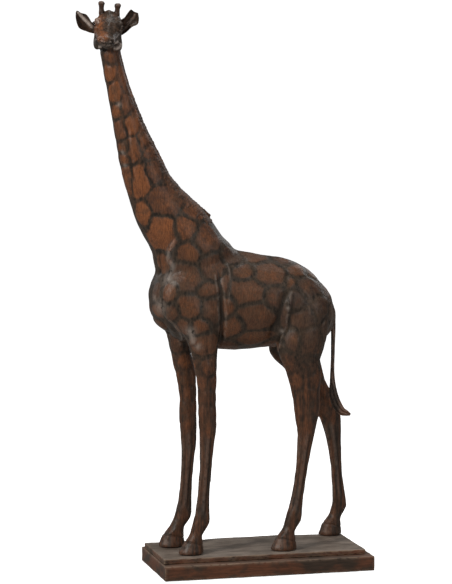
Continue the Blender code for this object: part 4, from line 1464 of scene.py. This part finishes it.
def build_animal(coat, mane_coat):
    """Carve the skin, saw it into the CAD's pieces and finish each."""
    skin = animal_skin()
    rubbed = carve_relief(skin)
    spots = Spots(skin.tree())
    carve_spots(skin, spots)
    carve_tool_marks(skin)
    paint_skin(skin, spots, rubbed)
    tree = skin.tree()
    for node, mesh in sawn_pieces(skin.mesh).items():
        detail(node, mesh, spots)
        if node == "head":
            for word in ("left", "right"):
                horn = split_horn(mesh, word)
                finish(horn, "horn_" + word + "_carved", coat, "horn_" + word)
        finish(mesh, node + "_carved", coat, node)
    for word in ("left", "right"):
        build_ear(word, coat)
    build_mane(tree, mane_coat)
    build_tail(coat)


def dress_hidden_pieces():
    """Materials for the dowels, fasteners and felt, whose CAD shapes are kept."""
    steel = zinc_steel()
    looks = {"dowel": dowel_wood(), "screw": steel, "washer": steel, "felt": felt_cloth()}
    for name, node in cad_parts.items():
        for word, look in looks.items():
            if word in name:
                node.data.materials.clear()
                node.data.materials.append(look)


def add_light(name, place, size, power, colour):
    """A square soft box aimed at the animal."""
    lamp = bpy.data.lights.new(name, "AREA")
    lamp.size, lamp.energy, lamp.color = size, power, colour
    made = link(lamp, name)
    made.location = place
    aim = Vector(LIGHT_TARGET) * MM - Vector(place)
    made.rotation_euler = aim.to_track_quat("-Z", "Y").to_euler()


def build_floor():
    """A wide pale floor that looks white to the camera and bounces little light."""
    look = new_look("studio_floor")
    seen = look.camera_ray()
    floor_look = look.surface({
        "Base Color": look.mix(seen, rgb(0.35, 0.33, 0.31), rgb(0.9, 0.9, 0.9)), "Roughness": 0.9,
        "Specular IOR Level": 0.1, "Emission Color": rgb(1, 1, 1),
        "Emission Strength": look.plus(0.06, look.times(seen, 0.90)),
    })
    bm = bmesh.new()
    bmesh.ops.create_circle(bm, cap_ends=True, segments=96, radius=FLOOR_RADIUS)
    mesh = mesh_from(bm, "floor")
    mesh.materials.append(floor_look)
    floor = link(mesh, "studio_floor")
    floor.location.z = FLOOR_DROP


def build_sky():
    """White surroundings: full white to the camera, dim as a light."""
    world = bpy.data.worlds.new("studio")
    look = Look(world)
    strength = look.plus(0.09, look.times(look.camera_ray(), 1.0))
    sky = look.node("Background", {"Color": rgb(1, 1, 1), "Strength": strength})
    look.node("OutputWorld", {"Surface": sky.outputs[0]})
    bpy.context.scene.world = world


def build_camera():
    """A long lens, level with the neck, that looks along its own -Z."""
    azimuth, pitch = math.radians(CAMERA_AZIMUTH), math.radians(CAMERA_PITCH)
    right = Vector((math.cos(azimuth), math.sin(azimuth), 0))
    level = Vector((math.sin(azimuth), -math.cos(azimuth), 0))
    back = level * math.cos(pitch) + Vector((0, 0, math.sin(pitch)))
    lens = bpy.data.cameras.new("camera")
    lens.lens = CAMERA_LENS
    camera = link(lens, "camera")
    axes = Matrix((right, back.cross(right), back)).transposed().to_4x4()
    camera.matrix_world = Matrix.Translation(Vector(CAMERA) * MM) @ axes
    bpy.context.scene.camera = camera


def build_stage():
    """Floor, surroundings, soft boxes and camera."""
    build_floor()
    build_sky()
    bpy.context.scene.view_settings.view_transform = "Standard"
    for name, (place, size, power, colour) in SOFT_BOXES.items():
        add_light(name, place, size, power, colour)
    build_camera()


coat = carved_coat("stained_coat")
mane_coat = carved_coat("stained_mane", 0.2)
build_animal(coat, mane_coat)
boards = plinth_wood()
# The last number is how much painted sheen each board's top takes
build_board("plinth_slab", 1.6, boards, 0.0, 0.3)
build_board("plinth_deck", 1.4, boards, 1.8, 1.0)
dress_hidden_pieces()
build_stage()
